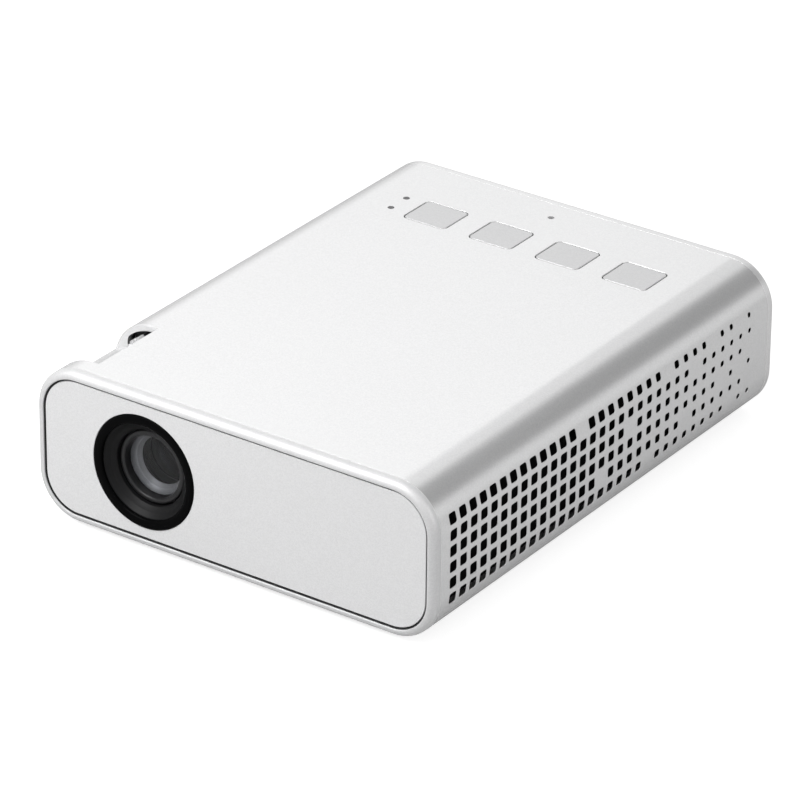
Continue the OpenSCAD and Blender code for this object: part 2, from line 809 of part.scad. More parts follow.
module key_cap(i) {
    color(satin) translate([key_x(i), key_y, 0]) {
        translate([0, 0, key_flange_top - eps])
            flat_plate(key_w, key_d, top_z - key_flange_top + eps, key_corner_r);
        translate([0, 0, key_foot])
            flat_plate(key_w + 2 * key_flange, key_d + 2 * key_flange, key_flange_t, key_corner_r);
    }
}

module key_1() { key_cap(0); }
module key_2() { key_cap(1); }
module key_3() { key_cap(2); }
module key_4() { key_cap(3); }

// The plunger reaches down into its switch
module key_plunger(i) {
    color(black) translate([key_x(i), key_y, key_foot - plunger_len - key_travel])
        cylinder(r = plunger_r, h = plunger_len + key_travel);
}

module key_plunger_1() { key_plunger(0); }
module key_plunger_2() { key_plunger(1); }
module key_plunger_3() { key_plunger(2); }
module key_plunger_4() { key_plunger(3); }

module key_switches() {
    for (i = [0:key_count - 1])
        color(steel) translate([key_x(i), key_y, key_board_top]) difference() {
            translate([-key_switch_size / 2, -key_switch_size / 2, 0])
                cube([key_switch_size, key_switch_size, key_switch_h]);
            translate([0, 0, key_switch_floor]) cylinder(r = plunger_r + run_gap, h = key_switch_h);
        }
}

module key_board() {
    color(board_green) difference() {
        block([-light_x - light_guide_w, key_board_y[0], key_board_top - key_board_t],
            [key_x(key_count - 1) + key_board_end, key_board_y[1], key_board_top]);
        for (x = boss_xs)
            translate([x, key_y, key_board_top - key_board_t - eps])
                cylinder(r = screw_r + fastener_gap, h = key_board_t + 2 * eps);
    }
}

module status_light_pipes() {
    color(soft_black) {
        for (y = light_ys)
            translate([-light_x, y, key_board_top + eps]) cylinder(r = light_r, h = top_z - key_board_top - eps);
        block([-light_x - light_guide_w / 2, light_ys[1] - light_guide_w / 2, key_board_top],
            [-light_x + light_guide_w / 2, light_ys[0] + light_guide_w / 2, key_board_top + 1.2]);
    }
}

module main_board() {
    color(board_green) difference() {
        block([-board_x, board_front_y, board_z], [board_x, board_rear_y, board_top]);
        for (sx = [-1, 1])
            translate([sx * post_at, post_ys[1], board_z - eps]) cylinder(r = post_r + 0.4, h = board_t + 2 * eps);
        for (sx = [-1, 1], y = standoff_ys)
            translate([sx * standoff_x, y, board_z - eps]) cylinder(r = screw_r + fastener_gap, h = board_t + 2 * eps);
    }
}

// Chips, coils, headers and the reset switch, all on top of the main board
module board_parts() {
    y0 = board_front_y;
    color(soft_black) translate([main_chip_x, y0 + chip_front, board_top]) cube(main_chip);
    color(soft_black) for (i = [0:1])
        translate([memory_x, y0 + chip_front + i * memory_pitch, board_top]) cube(memory_chip);
    color(steel) for (i = [0:2])
        translate([coil_x + i * coil_pitch, y0 + chip_front, board_top]) cube(coil_size);
    color(satin) for (x = header_xs)
        translate([x, y0 + header_front, board_top]) cube(header_size);
    color(steel) translate([pinhole_x, pinhole_y, board_top]) {
        translate([-reset_size[0] / 2, -reset_size[1] / 2, 0]) cube(reset_size);
        translate([0, 0, reset_size[2] - eps]) cylinder(r = reset_r, h = reset_h + eps);
    }
}

module video_socket() {
    y0 = socket_y - video_len;
    color(steel) {
        difference() {
            block([video_at - video_w / 2, y0, board_top], [video_at + video_w / 2, socket_y, board_top + video_h]);
            block([video_at - 7.1, y0 + 1, board_top + 1.6], [video_at + 7.1, socket_y + eps, board_top + 5.2]);
            block([video_at - 5.2, y0 + 1, board_top + 0.4], [video_at + 5.2, socket_y + eps, board_top + 1.7]);
        }
        block([video_at - 5.6, y0 + 1 - eps, board_top + 2.9], [video_at + 5.6, socket_y - 1.5, board_top + 3.8]);
    }
}

module data_socket() {
    y0 = socket_y - data_len;
    color(steel) {
        difference() {
            block([data_at - data_w / 2, y0, board_top], [data_at + data_w / 2, socket_y, board_top + data_h]);
            block([data_at - 6.25, y0 + 1, board_top + 0.35], [data_at + 6.25, socket_y + eps, board_top + 5.45]);
        }
        block([data_at - 5.5, y0 + 1 - eps, board_top + 3.2], [data_at + 5.5, socket_y - 1, board_top + 5]);
    }
}

module charge_socket() {
    y0 = socket_y - charge_len;
    color(steel) {
        difference() {
            translate([charge_at, socket_y, board_top + charge_h / 2]) rotate([90, 0, 0])
                linear_extrude(charge_len) rounded_rect(charge_w, charge_h, charge_h / 2 - 0.01);
            translate([charge_at, socket_y + eps, board_top + charge_h / 2]) rotate([90, 0, 0])
                linear_extrude(charge_len - 0.9) rounded_rect(charge_w - 0.6, charge_h - 0.64, charge_h / 2 - 0.33);
        }
        block([charge_at - 3.3, y0 + 0.9 - eps, board_top + charge_h / 2 - 0.35],
            [charge_at + 3.3, socket_y - 0.6, board_top + charge_h / 2 + 0.35]);
    }
}

module audio_jack() {
    y0 = socket_y - audio_bore_len - 1;
    color(soft_black) difference() {
        union() {
            block([audio_at - audio_body_w / 2, y0, board_top],
                [audio_at + audio_body_w / 2, panel_in_y - 0.2, board_top + audio_body_h]);
            translate([audio_at, y0 + 1, audio_z]) rotate([-90, 0, 0])
                cylinder(r = audio_r, h = socket_y - y0 - 1);
        }
        translate([audio_at, socket_y - audio_bore_len, audio_z]) rotate([-90, 0, 0])
            cylinder(r = audio_bore_r, h = audio_bore_len + eps);
    }
}

module power_switch() {
    color(steel) difference() {
        block([switch_at - switch_w / 2, switch_y - switch_l, board_top],
            [switch_at + switch_w / 2, switch_y, board_top + switch_h]);
        block([switch_at - knob_w / 2 - switch_travel / 2 - slide_gap, switch_y - 2.8, switch_z - 0.9],
            [switch_at + knob_w / 2 + switch_travel / 2 + slide_gap, switch_y - 0.6, switch_z + 0.9]);
        block([switch_at - stem_w / 2 - switch_travel / 2 - slide_gap, switch_y - 1, switch_z - 0.7],
            [switch_at + stem_w / 2 + switch_travel / 2 + slide_gap, switch_y + eps, switch_z + 0.7]);
    }
}

// The slider is drawn in its off position, at the left end of its travel as seen from above
module power_slider() {
    x = switch_at - switch_travel / 2;
    color(soft_black) {
        block([x - knob_w / 2, switch_y - 2.6, switch_z - 0.7], [x + knob_w / 2, switch_y - 0.85, switch_z + 0.7]);
        block([x - stem_w / 2, switch_y - 0.95, switch_z - 0.5], [x + stem_w / 2, switch_y + 0.6, switch_z + 0.5]);
        block([x - knob_w / 2, switch_y + 0.5, switch_z - knob_h / 2],
            [x + knob_w / 2, rear_y - 0.2, switch_z + knob_h / 2]);
    }
}

module battery_tray() {
    color(soft_black) difference() {
        block([-battery_x - tray_lip, battery_y0 - tray_lip, floor_z],
            [battery_x + tray_lip, battery_y0 + battery_len + tray_lip, floor_z + tray_t + tray_wall_h]);
        block([-battery_x - battery_fit, battery_y0 - battery_fit, floor_z + tray_t],
            [battery_x + battery_fit, battery_y0 + battery_len + battery_fit, floor_z + tray_t + tray_wall_h + eps]);
    }
}

// Two flat cells in one sleeve
module battery_pack() {
    color([0.15, 0.35, 0.6]) {
        block([-battery_x, battery_y0, floor_z + tray_t],
            [-cell_gap / 2, battery_y0 + battery_len, floor_z + tray_t + battery_t]);
        block([cell_gap / 2, battery_y0, floor_z + tray_t],
            [battery_x, battery_y0 + battery_len, floor_z + tray_t + battery_t]);
        block([-cell_gap / 2 - eps, battery_y0 + 2, floor_z + tray_t + battery_t / 2 - 1],
            [cell_gap / 2 + eps, battery_y0 + battery_len - 2, floor_z + tray_t + battery_t / 2 + 1]);
    }
}

// ---- Light engine and lens ----

module engine_housing() {
    color(soft_black) difference() {
        block([engine_x0, housing_front_y, floor_z], [engine_x1, housing_rear_y, engine_top - lid_t]);
        difference() {
            block([engine_x0 + engine_t, housing_front_y + engine_t, floor_z + engine_t],
                [engine_x1 - engine_t, housing_rear_y - engine_t, engine_top]);
            // Seat of the prism
            block([lens_x - prism_size / 2, prism_y0, floor_z],
                [lens_x + prism_size / 2, prism_y0 + prism_size, lens_z - prism_size / 2]);
        }
        bar_y(lens_x, lens_z, guide_in_r + 0.3, flange_rear - eps, flange_rear + engine_t + eps);
        bar_y(lens_x, lens_z, imager_hole_r, engine_rear - engine_t - eps, engine_rear + eps);
        for (y = source_ys)
            translate([engine_x1 - engine_t - eps, y, lens_z]) rotate([0, 90, 0])
                cylinder(r = light_hole_r, h = engine_t + 2 * eps);
        for (p = engine_screws)
            bar_y(lens_x + p[0], lens_z + p[1], screw_r, flange_rear - eps, flange_rear + engine_t + eps);
    }
}

module engine_lid() {
    color(steel) block([engine_x0, housing_front_y, engine_top - lid_t], [engine_x1, housing_rear_y, engine_top]);
}

// Two glass wedges that face each other across a thin air gap
module prism() {
    s = prism_size;
    g = prism_gap;
    color(clear) translate([lens_x - s / 2, prism_y0, lens_z - s / 2]) linear_extrude(s) {
        polygon([[0, 0], [s - g, 0], [0, s - g]]);
        polygon([[s, g], [s, s], [g, s]]);
    }
}

// Coated plates that turn the coloured light onto the imager
module dichroic_plates() {
    color([0.5, 0.6, 0.9, 0.6])
        for (y = source_ys)
            translate([engine_x1 - engine_t - 1.6, y, floor_z + engine_t])
                rotate([0, 0, plate_angle]) translate([-plate_t / 2, -plate_w / 2, 0])
                    cube([plate_t, plate_w, engine_top - lid_t - floor_z - engine_t]);
}

// The imager chip sits on its board behind the light engine
module imager_board() {
    color(board_green) {
        block([engine_x0 + 2, housing_rear_y, floor_z + 0.5], [engine_x1 - 2, housing_rear_y + imager_t, engine_top - 1]);
        block([lens_x - imager_w / 2, housing_rear_y - imager_reach, lens_z - imager_h / 2],
            [lens_x + imager_w / 2, housing_rear_y + eps, lens_z + imager_h / 2]);
    }
    color(steel)
        block([lens_x - clamp_w / 2, housing_rear_y + imager_t - eps, pipe_z - clamp_h / 2],
            [lens_x + clamp_w / 2, pipe_y - pipe_r, pipe_z + clamp_h / 2]);
}

// Light sources, each on its copper block between the light engine and the heat sink
module light_modules() {
    for (y = source_ys) {
        color(copper) block([sink_x0 - light_block_t, y - light_block / 2, lens_z - light_block_h / 2],
            [sink_x0, y + light_block / 2, lens_z + light_block_h / 2]);
        color(satin) block([light_front_x, y - light_block / 2, lens_z - light_board_h / 2],
            [light_front_x + light_board_t, y + light_block / 2, lens_z + light_board_h / 2]);
        color(soft_black) translate([engine_x1, y, lens_z]) rotate([0, 90, 0]) difference() {
            cylinder(r = light_hole_r + 0.3, h = light_front_x - engine_x1);
            translate([0, 0, -eps]) cylinder(r = light_hole_r - 0.8, h = light_front_x - engine_x1 + 2 * eps);
        }
    }
}

module heat_sink() {
    color(steel) difference() {
        union() {
            block([sink_x0, sink_y0, floor_z], [sink_x0 + sink_base_t, sink_y0 + fan_size, engine_top - 1]);
            for (z = [floor_z:fin_pitch:engine_top - 1 - fin_t])
                block([sink_x0 + sink_base_t - eps, sink_y0, z], [sink_x1, sink_y0 + fan_size, z + fin_t]);
        }
        translate([sink_x0 + sink_base_t / 2, pipe_start_y, pipe_z]) rotate([-90, 0, 0])
            cylinder(r = pipe_r, h = fan_size);
    }
}

module heat_pipe() {
    x = sink_x0 + sink_base_t / 2;
    color(copper) {
        translate([x, pipe_start_y, pipe_z]) rotate([-90, 0, 0])
            cylinder(r = pipe_r, h = pipe_y - pipe_bend_r - pipe_start_y);
        translate([x - pipe_bend_r, pipe_y - pipe_bend_r, pipe_z])
            rotate_extrude(angle = 90) translate([pipe_bend_r, 0]) circle(r = pipe_r);
        translate([lens_x - 6, pipe_y, pipe_z]) rotate([0, 90, 0])
            cylinder(r = pipe_r, h = x - pipe_bend_r - lens_x + 6);
    }
}

// The tube that guides the barrel, with the flange that carries the thumb wheel's axle
module lens_mount() {
    color(soft_black) difference() {
        union() {
            bar_y(lens_x, lens_z, guide_r, hood_rear_d + 0.4, flange_front + eps);
            bar_y(lens_x, lens_z, flange_r, flange_front, flange_rear);
            bar_y(wheel_x, wheel_z, axle_r + lug_r, flange_front, flange_rear);
            translate([lens_x, 0, lens_z]) rotate([0, wheel_angle, 0])
                translate([-gear_dist, front_y + flange_front, 0.2 - axle_r - lug_r])
                    cube([gear_dist, flange_t, 2 * (axle_r + lug_r - 0.2)]);
        }
        bar_y(lens_x, lens_z, guide_in_r, 0, flange_rear + eps);
        bar_y(wheel_x, wheel_z, axle_r, flange_front - eps, flange_rear + eps);
        // Slot of the cam pin, and the groove of the ring clip
        block([lens_x - cam_pin_r - 0.1, front_y + cam_d - focus_travel - cam_pin_r - 0.2, lens_z - guide_r - 1],
            [lens_x + cam_pin_r + 0.1, front_y + cam_d + focus_travel + cam_pin_r + 0.2, lens_z - guide_in_r + 0.5]);
        difference() {
            bar_y(lens_x, lens_z, guide_r + 1, clip_d0, clip_d0 + clip_t);
            bar_y(lens_x, lens_z, guide_r - clip_sink, clip_d0 - eps, clip_d0 + clip_t + eps);
        }
        for (p = engine_screws)
            bar_y(lens_x + p[0], lens_z + p[1], screw_r + fastener_gap, flange_front - eps, flange_rear + eps);
        for (p = engine_screws)
            bar_y(lens_x + p[0], lens_z + p[1], screw_head_r, flange_front - eps,
                flange_front + screw_head_t + fastener_gap);
    }
}

module ring_clip() {
    color(steel) difference() {
        bar_y(lens_x, lens_z, guide_r + clip_reach, clip_d0, clip_d0 + clip_t);
        bar_y(lens_x, lens_z, guide_r - clip_sink, clip_d0 - eps, clip_d0 + clip_t + eps);
        // Open at the bottom, so that it snaps on from above
        block([lens_x - 3, front_y + clip_d0 - eps, lens_z - guide_r - 2],
            [lens_x + 3, front_y + clip_d0 + clip_t + eps, lens_z - guide_r + 2.5]);
    }
}

module focus_ring() {
    floor_r = cam_pin_tip + 0.3;
    half_w = floor_r * tan(cam_step_a / 2) + 0.15;
    half_l = cam_pin_r + cam_gap;
    color(black) difference() {
        gear_y(lens_x, lens_z, ring_teeth, ring_pitch_r, 180 - wheel_angle, wheel_front + 0.1, wheel_rear - 0.1);
        bar_y(lens_x, lens_z, guide_r + run_gap, wheel_front, wheel_rear);
        for (i = [0:cam_steps]) {
            a = -cam_half + i * cam_step_a;
            s = -focus_travel * max(-1, min(1, a / ring_turn));
            translate([lens_x, front_y + cam_d + s, lens_z]) rotate([0, -a, 0])
                translate([-half_w, -half_l, -floor_r]) cube([2 * half_w, 2 * half_l, floor_r - guide_r + 0.8]);
        }
    }
}

module focus_wheel() {
    color(black) difference() {
        gear_y(wheel_x, wheel_z, wheel_teeth, wheel_pitch_r, 180 / wheel_teeth - wheel_angle, wheel_front, wheel_rear);
        bar_y(wheel_x, wheel_z, axle_r + run_gap, wheel_front - eps, wheel_rear + eps);
        // Dished front face
        bar_y(wheel_x, wheel_z, wheel_pitch_r - 1.6, wheel_front - eps, wheel_front + 0.6);
    }
}

module focus_axle() {
    color(steel) {
        bar_y(wheel_x, wheel_z, axle_r, wheel_front - 0.4, flange_rear);
        bar_y(wheel_x, wheel_z, axle_r + axle_head_r, wheel_front - 1, wheel_front - 0.3);
    }
}

module lens_barrel() {
    color(black) {
        turned(lens_x, lens_z, [
            [barrel_r - 0.25, barrel_front], [barrel_r, barrel_front + 0.25], [barrel_r, barrel_rear],
            [rear_cell_r, barrel_rear], [rear_cell_r, rear_cell_d0], [stop_r, rear_cell_d0], [stop_r, mid_seat_d],
            [mid_cell_r, mid_seat_d], [mid_cell_r, mid_cell_d0], [baffle_r, mid_cell_d0], [baffle_r, glass_rear_d],
            [glass_r, glass_rear_d], [glass_r, barrel_front]
        ]);
        translate([lens_x, front_y + cam_d, lens_z - cam_pin_tip])
            cylinder(r = cam_pin_r, h = cam_pin_tip - barrel_r + 0.3);
    }
}

module lens_retainer() {
    color(soft_black) turned(lens_x, lens_z, [
        [glass_r, barrel_front + 0.1], [glass_r, barrel_front + 0.1 + retainer_len],
        [glass_r - 0.35, barrel_front + 0.1 + retainer_len], [glass_r - 0.15, barrel_front + 0.1]
    ]);
}

// A lens between depths d0 and d1 with domed faces of radius ra at the front and rb at the rear
module lens_cell(r, d0, d1, ra, rb) {
    intersection() {
        bar_y(lens_x, lens_z, r, d0 - 1, d1 + 1);
        translate([lens_x, front_y + d0 + ra, lens_z]) sphere(r = ra, $fn = 200);
        translate([lens_x, front_y + d1 - rb, lens_z]) sphere(r = rb, $fn = 200);
    }
}

module front_lens() {
    color(clear) lens_cell(glass_r, barrel_front + 0.5, glass_rear_d, 17, 60);
}

module rear_lenses() {
    color(clear) {
        lens_cell(mid_cell_r, mid_cell_d0, mid_cell_d1, 16, 22);
        lens_cell(rear_cell_r, rear_cell_d0, rear_cell_d1, 22, 16);
    }
}

// ---- Fan and speaker ----

// A round bar along X between x0 and x1 on the fan's axis
module fan_bar(r, x0, x1) {
    translate([x0, fan_y, fan_z]) rotate([0, 90, 0]) cylinder(r = r, h = x1 - x0);
}

module fan_frame() {
    color(soft_black) difference() {
        union() {
            difference() {
                block([fan_x0, fan_y - fan_size / 2, floor_z], [fan_x1, fan_y + fan_size / 2, floor_z + fan_size]);
                fan_bar(fan_bore_r, fan_x0 - eps, fan_x1 + eps);
            }
            fan_bar(fan_hub_r, fan_x1 - fan_base_t, fan_x1);
            fan_bar(fan_bush_r, fan_x0 + 2.5, fan_x1 - fan_base_t + eps);
            for (a = [45:90:315])
                translate([fan_x1 - fan_base_t, fan_y, fan_z]) rotate([a, 0, 0])
                    translate([0, fan_hub_r - 0.5, -fan_spoke_w / 2])
                        cube([fan_base_t, fan_bore_r - fan_hub_r + 1, fan_spoke_w]);
        }
        fan_bar(fan_shaft_r + run_gap, fan_x0, fan_x1 - 0.4);
        for (sy = [-1, 1], sz = [-1, 1])
            translate([0, sy * (fan_size / 2 - fan_hole_in), sz * (fan_size / 2 - fan_hole_in)])
                fan_bar(fan_hole_r, fan_x0 - eps, fan_x1 + eps);
    }
}

// Four coils on a core around the bush
module fan_stator() {
    color(copper) difference() {
        union() {
            fan_bar(fan_bush_r + 1, fan_x0 + 2.8, fan_x1 - 1.4);
            for (a = [0:90:270])
                translate([fan_x0 + 3, fan_y, fan_z]) rotate([a, 0, 0])
                    translate([0, fan_bush_r, -1]) cube([fan_t - 4.8, 2, 2]);
        }
        fan_bar(fan_bush_r, fan_x0, fan_x1);
    }
}

module fan_rotor() {
    cup_x1 = fan_x1 - fan_base_t - 0.5;
    color(soft_black) {
        difference() {
            fan_bar(fan_hub_r, fan_x0 + 0.6, cup_x1);
            fan_bar(fan_hub_r - 0.7, fan_x0 + 1.6, cup_x1 + eps);
        }
        fan_bar(fan_shaft_r, fan_x0 + 1, fan_x1 - 0.7);
        intersection() {
            for (i = [0:fan_blades - 1])
                translate([(fan_x0 + cup_x1) / 2 + 0.3, fan_y, fan_z]) rotate([i * 360 / fan_blades, 0, 0])
                    translate([0, fan_hub_r - 0.4, 0]) rotate([0, -blade_pitch, 0])
                        translate([-blade_w / 2, 0, -blade_t / 2]) cube([blade_w, fan_bore_r - fan_hub_r, blade_t]);
            difference() {
                fan_bar(fan_bore_r - 0.5, fan_x0 + 0.7, cup_x1 - 0.1);
                fan_bar(fan_hub_r - 0.3, fan_x0, fan_x1);
            }
        }
    }
}

module speaker_bar(r, x0, x1) {
    translate([x0, speaker_y, speaker_z]) rotate([0, 90, 0]) cylinder(r = r, h = x1 - x0);
}

// Square flange and basket
module speaker_frame() {
    s = speaker_r + speaker_rim;
    color(soft_black) difference() {
        union() {
            block([speaker_x1 - speaker_flange_t, speaker_y - s, speaker_z - s],
                [speaker_x1, speaker_y + s, speaker_z + s]);
            speaker_bar(speaker_r, speaker_x1 - speaker_t, speaker_x1 - eps);
        }
        speaker_bar(speaker_r - speaker_wall, speaker_x1 - speaker_cup_t, speaker_x1 + eps);
        speaker_bar(voice_hole_r, speaker_x1 - speaker_t - eps, speaker_x1);
    }
}

module speaker_cone() {
    color([0.2, 0.2, 0.22])
        translate([speaker_x1 - speaker_cup_t, speaker_y, speaker_z]) rotate([0, 90, 0]) rotate_extrude() polygon([
            [0, 0.9], [voice_r, 0], [voice_r, -0.8], [voice_r + 0.3, -0.8], [voice_r + 0.3, 0],
            [speaker_r - 2 * speaker_wall, 1.6], [speaker_r - speaker_wall, 1.6], [speaker_r - speaker_wall, 1.9],
            [speaker_r - 2 * speaker_wall, 1.9], [voice_r + 0.2, 0.4], [0, 1.4]
        ]);
}

module speaker_magnet() {
    color(steel) {
        speaker_bar(magnet_r, speaker_x1 - speaker_t - magnet_t, speaker_x1 - speaker_t);
        speaker_bar(core_r, speaker_x1 - speaker_t - eps, speaker_x1 - speaker_cup_t - 0.4);
    }
}

// ---- Feet, fasteners and leads ----

module tripod_insert() {
    color([0.75, 0.62, 0.35]) translate([tripod_x, 0, base_z]) difference() {
        cylinder(r = tripod_insert_r, h = tripod_len);
        translate([0, 0, -eps]) cylinder(r = tripod_core_r, h = tripod_len + 2 * eps);
    }
}

module rubber_feet() {
    color(soft_black) for (sx = [-1, 1], y = foot_ys)
        translate([sx * foot_at, y, 0]) cylinder(r = foot_r, h = foot_proud + foot_sink);
}

// A flat-head screw that points up from z
module screw_up(x, y, z, len) {
    translate([x, y, z]) difference() {
        union() {
            cylinder(r = screw_head_r, h = screw_head_t);
            cylinder(r = screw_r, h = len);
        }
        for (s = [[drive_slot_l, drive_slot_w], [drive_slot_w, drive_slot_l]])
            translate([-s[0] / 2, -s[1] / 2, -eps]) cube([s[0], s[1], screw_head_t / 2 + eps]);
    }
}

module cover_screws() {
    color(steel) {
        for (sx = [-1, 1], y = post_ys)
            screw_up(sx * post_at, y, base_z, cover_screw_len);
        for (sx = [-1, 1])
            translate([sx * rear_screw_x, panel_out_y, rear_screw_z]) rotate([90, 0, 0])
                screw_up(0, 0, 0, rear_screw_len);
    }
}

module inner_screws() {
    color(steel) {
        for (sx = [-1, 1], y = standoff_ys)
            translate([sx * standoff_x, y, board_top + screw_head_t]) mirror([0, 0, 1])
                screw_up(0, 0, 0, standoff_screw_len);
        for (x = boss_xs)
            screw_up(x, key_y, key_board_top - key_board_t - screw_head_t, key_board_screw_len);
        for (p = engine_screws)
            translate([lens_x + p[0], front_y + flange_front + 0.1, lens_z + p[1]]) rotate([-90, 0, 0])
                screw_up(0, 0, 0, mount_screw_len);
    }
}

// Flat ribbon from the key board to the main board, and the leads of the battery, fan and speaker
module inner_leads() {
    color([0.85, 0.6, 0.25])
        block([ribbon_x - ribbon_w / 2, key_board_y[0] - ribbon_t, board_top],
            [ribbon_x + ribbon_w / 2, key_board_y[0], key_board_top]);
    color([0.75, 0.1, 0.1]) for (x = [-22, -18])
        translate([x, battery_y0 + battery_len - 3, floor_z + tray_t + battery_t])
            cylinder(r = lead_r, h = board_z - floor_z - tray_t - battery_t);
    color(soft_black) for (dx = [1, 2.5]) {
        x = fan_x0 + dx;
        translate([x, fan_y + fan_size / 2, floor_z + lead_r]) rotate([-90, 0, 0])
            cylinder(r = lead_r, h = lead_y - fan_y - fan_size / 2);
        translate([x, lead_y, floor_z + lead_r]) cylinder(r = lead_r, h = board_z - floor_z - 2 * lead_r);
        translate([x, lead_y, board_z - lead_r]) rotate([-90, 0, 0])
            cylinder(r = lead_r, h = board_front_y + 2 - lead_y);
        for (z = [floor_z + lead_r, board_z - lead_r])
            translate([x, lead_y, z]) sphere(r = lead_r);
    }
}

upper_shell();
bottom_cover();
front_bezel();
bezel_gasket();
front_panel();
lens_trim_ring();
lens_hood();
rear_panel();
vent_meshes();
key_1();
key_2();
key_3();
key_4();
key_plunger_1();
key_plunger_2();
key_plunger_3();
key_plunger_4();
key_board();
key_switches();
status_light_pipes();
main_board();
board_parts();
video_socket();
data_socket();
charge_socket();
audio_jack();
power_switch();
power_slider();
battery_pack();
battery_tray();
engine_housing();
engine_lid();
prism();
dichroic_plates();
imager_board();
light_modules();
heat_sink();
heat_pipe();
fan_frame();
fan_stator();
fan_rotor();
speaker_frame();
speaker_cone();
speaker_magnet();
lens_mount();
lens_barrel();
front_lens();
rear_lenses();
lens_retainer();
focus_ring();
ring_clip();
focus_wheel();
focus_axle();
tripod_insert();
rubber_feet();
cover_screws();
inner_screws();
inner_leads();
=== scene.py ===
"""Pocket LED projector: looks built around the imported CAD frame.

Lengths in the building code are millimetres in the CAD's own frame, and mesh() and finish_mesh() turn them into
metres. Materials, camera, lamps and floor are given in metres.
"Depth" is the distance behind the front face, as in the part's source.
"""

import bpy
import bmesh
import math
from mathutils import Vector, Matrix, geometry


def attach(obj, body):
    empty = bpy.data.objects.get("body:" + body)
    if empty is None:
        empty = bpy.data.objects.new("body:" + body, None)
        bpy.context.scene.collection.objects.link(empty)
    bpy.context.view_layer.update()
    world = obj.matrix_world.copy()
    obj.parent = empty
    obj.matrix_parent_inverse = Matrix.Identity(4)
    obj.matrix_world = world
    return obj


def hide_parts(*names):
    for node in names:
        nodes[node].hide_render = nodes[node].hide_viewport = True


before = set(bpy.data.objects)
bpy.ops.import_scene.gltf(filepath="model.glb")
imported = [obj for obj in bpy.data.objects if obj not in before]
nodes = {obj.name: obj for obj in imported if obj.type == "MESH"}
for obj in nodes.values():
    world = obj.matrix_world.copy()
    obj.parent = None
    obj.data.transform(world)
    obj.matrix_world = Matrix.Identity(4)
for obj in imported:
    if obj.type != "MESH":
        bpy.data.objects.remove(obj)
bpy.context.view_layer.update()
COS, SIN, PI = math.cos, math.sin, math.pi
MM = 0.001

# ---- Named sizes, repeated from the part's source (mm) ----
BODY_W, BODY_H = 83.0, 29.0
CORNER_R, SHELL_T = 8.5, 1.5
BASE_Z, TOP_Z = 0.6, 29.6
MID_Z = BASE_Z + BODY_H / 2
FRONT_Y, REAR_Y = -53.0, 53.0
FLAT_X = BODY_W / 2 - CORNER_R
FLAT_Z0, FLAT_Z1 = BASE_Z + CORNER_R, TOP_Z - CORNER_R
WINDOW_X = FLAT_X - 0.2
RIM_D, REAR_RIM_D = 2.0, 1.8
LENS_X, LENS_Z = -18.65, 14.95
VENT_PITCH, VENT_COLS, VENT_ROWS, VENT_FIRST = 2.98, 32, 6, 5.66
KEY_XS = [-19.05, -4.85, 9.35, 23.55]
KEY_Y, KEY_W, KEY_D, KEY_R, KEY_GAP = 34.8, 8.9, 8.1, 0.9, 0.2
LIGHT_X, LIGHT_YS, LIGHT_R = -27.5, [37.55, 32.65], 0.6
PIN_X, PIN_Y, PIN_R = -1.7, 46.2, 0.6
WHEEL_X, WHEEL_Z, WHEEL_D0, WHEEL_D1 = -32.576, 22.829, 20.0, 24.0
SCREW_R = 1.7


# ---- Mesh helpers ----
SAME = 1e-8  # points count as one when the square of their distance is less


def link(name, data):
    """An object in the scene that holds the data."""
    o = bpy.data.objects.new(name, data)
    bpy.context.scene.collection.objects.link(o)
    return o


def mesh(name, verts, faces, normals):
    """A smooth mesh object from points in mm and the normal at each point."""
    m = bpy.data.meshes.new(name)
    m.from_pydata([(x * MM, y * MM, z * MM) for x, y, z in verts], [], faces)
    m.validate()
    m.polygons.foreach_set("use_smooth", [True] * len(m.polygons))
    m.normals_split_custom_set_from_vertices([tuple(Vector(n).normalized()) for n in normals])
    m.update()
    return link(name, m)


def finish_mesh(name, bm, angle=35):
    """A mesh object from a bmesh in mm, with edges sharper than the angle kept crisp."""
    bmesh.ops.recalc_face_normals(bm, faces=bm.faces)
    bmesh.ops.scale(bm, vec=(MM,) * 3, verts=bm.verts)
    for f in bm.faces:
        f.smooth = True
    for e in bm.edges:
        if len(e.link_faces) == 2 and e.calc_face_angle(0) > math.radians(angle):
            e.smooth = False
    m = bpy.data.meshes.new(name)
    bm.to_mesh(m)
    bm.free()
    return link(name, m)


def rr(cu, cv, hu, hv, rho, n):
    """A rounded rectangle as (u, v, outward u, outward v), anticlockwise, with n steps round each corner."""
    out = []
    for k, (su, sv) in enumerate([(1, 1), (-1, 1), (-1, -1), (1, -1)]):
        for i in range(n + 1):
            a = PI / 2 * (k + i / n)
            out.append((cu + su * (hu - rho) + rho * COS(a), cv + sv * (hv - rho) + rho * SIN(a), COS(a), SIN(a)))
    keep = []
    for p in out:
        if not keep or (p[0] - keep[-1][0]) ** 2 + (p[1] - keep[-1][1]) ** 2 > SAME:
            keep.append(p)
    if (keep[0][0] - keep[-1][0]) ** 2 + (keep[0][1] - keep[-1][1]) ** 2 < SAME:
        keep.pop()
    return keep


def circle(cu, cv, r, n):
    """A circle of 4 n points, given like a rounded rectangle."""
    return rr(cu, cv, r, r, r, n)


def split_long(loop, step):
    """Adds points along the straight runs of a loop of (u, v, du, dv)."""
    out = []
    for i, a in enumerate(loop):
        b = loop[(i + 1) % len(loop)]
        out.append(a)
        d = math.hypot(b[0] - a[0], b[1] - a[1])
        if abs(a[2] - b[2]) + abs(a[3] - b[3]) < 1e-6 and d > step:
            n = int(d / step) + 1
            out += [(a[0] + (b[0] - a[0]) * k / n, a[1] + (b[1] - a[1]) * k / n, a[2], a[3]) for k in range(1, n)]
    return out


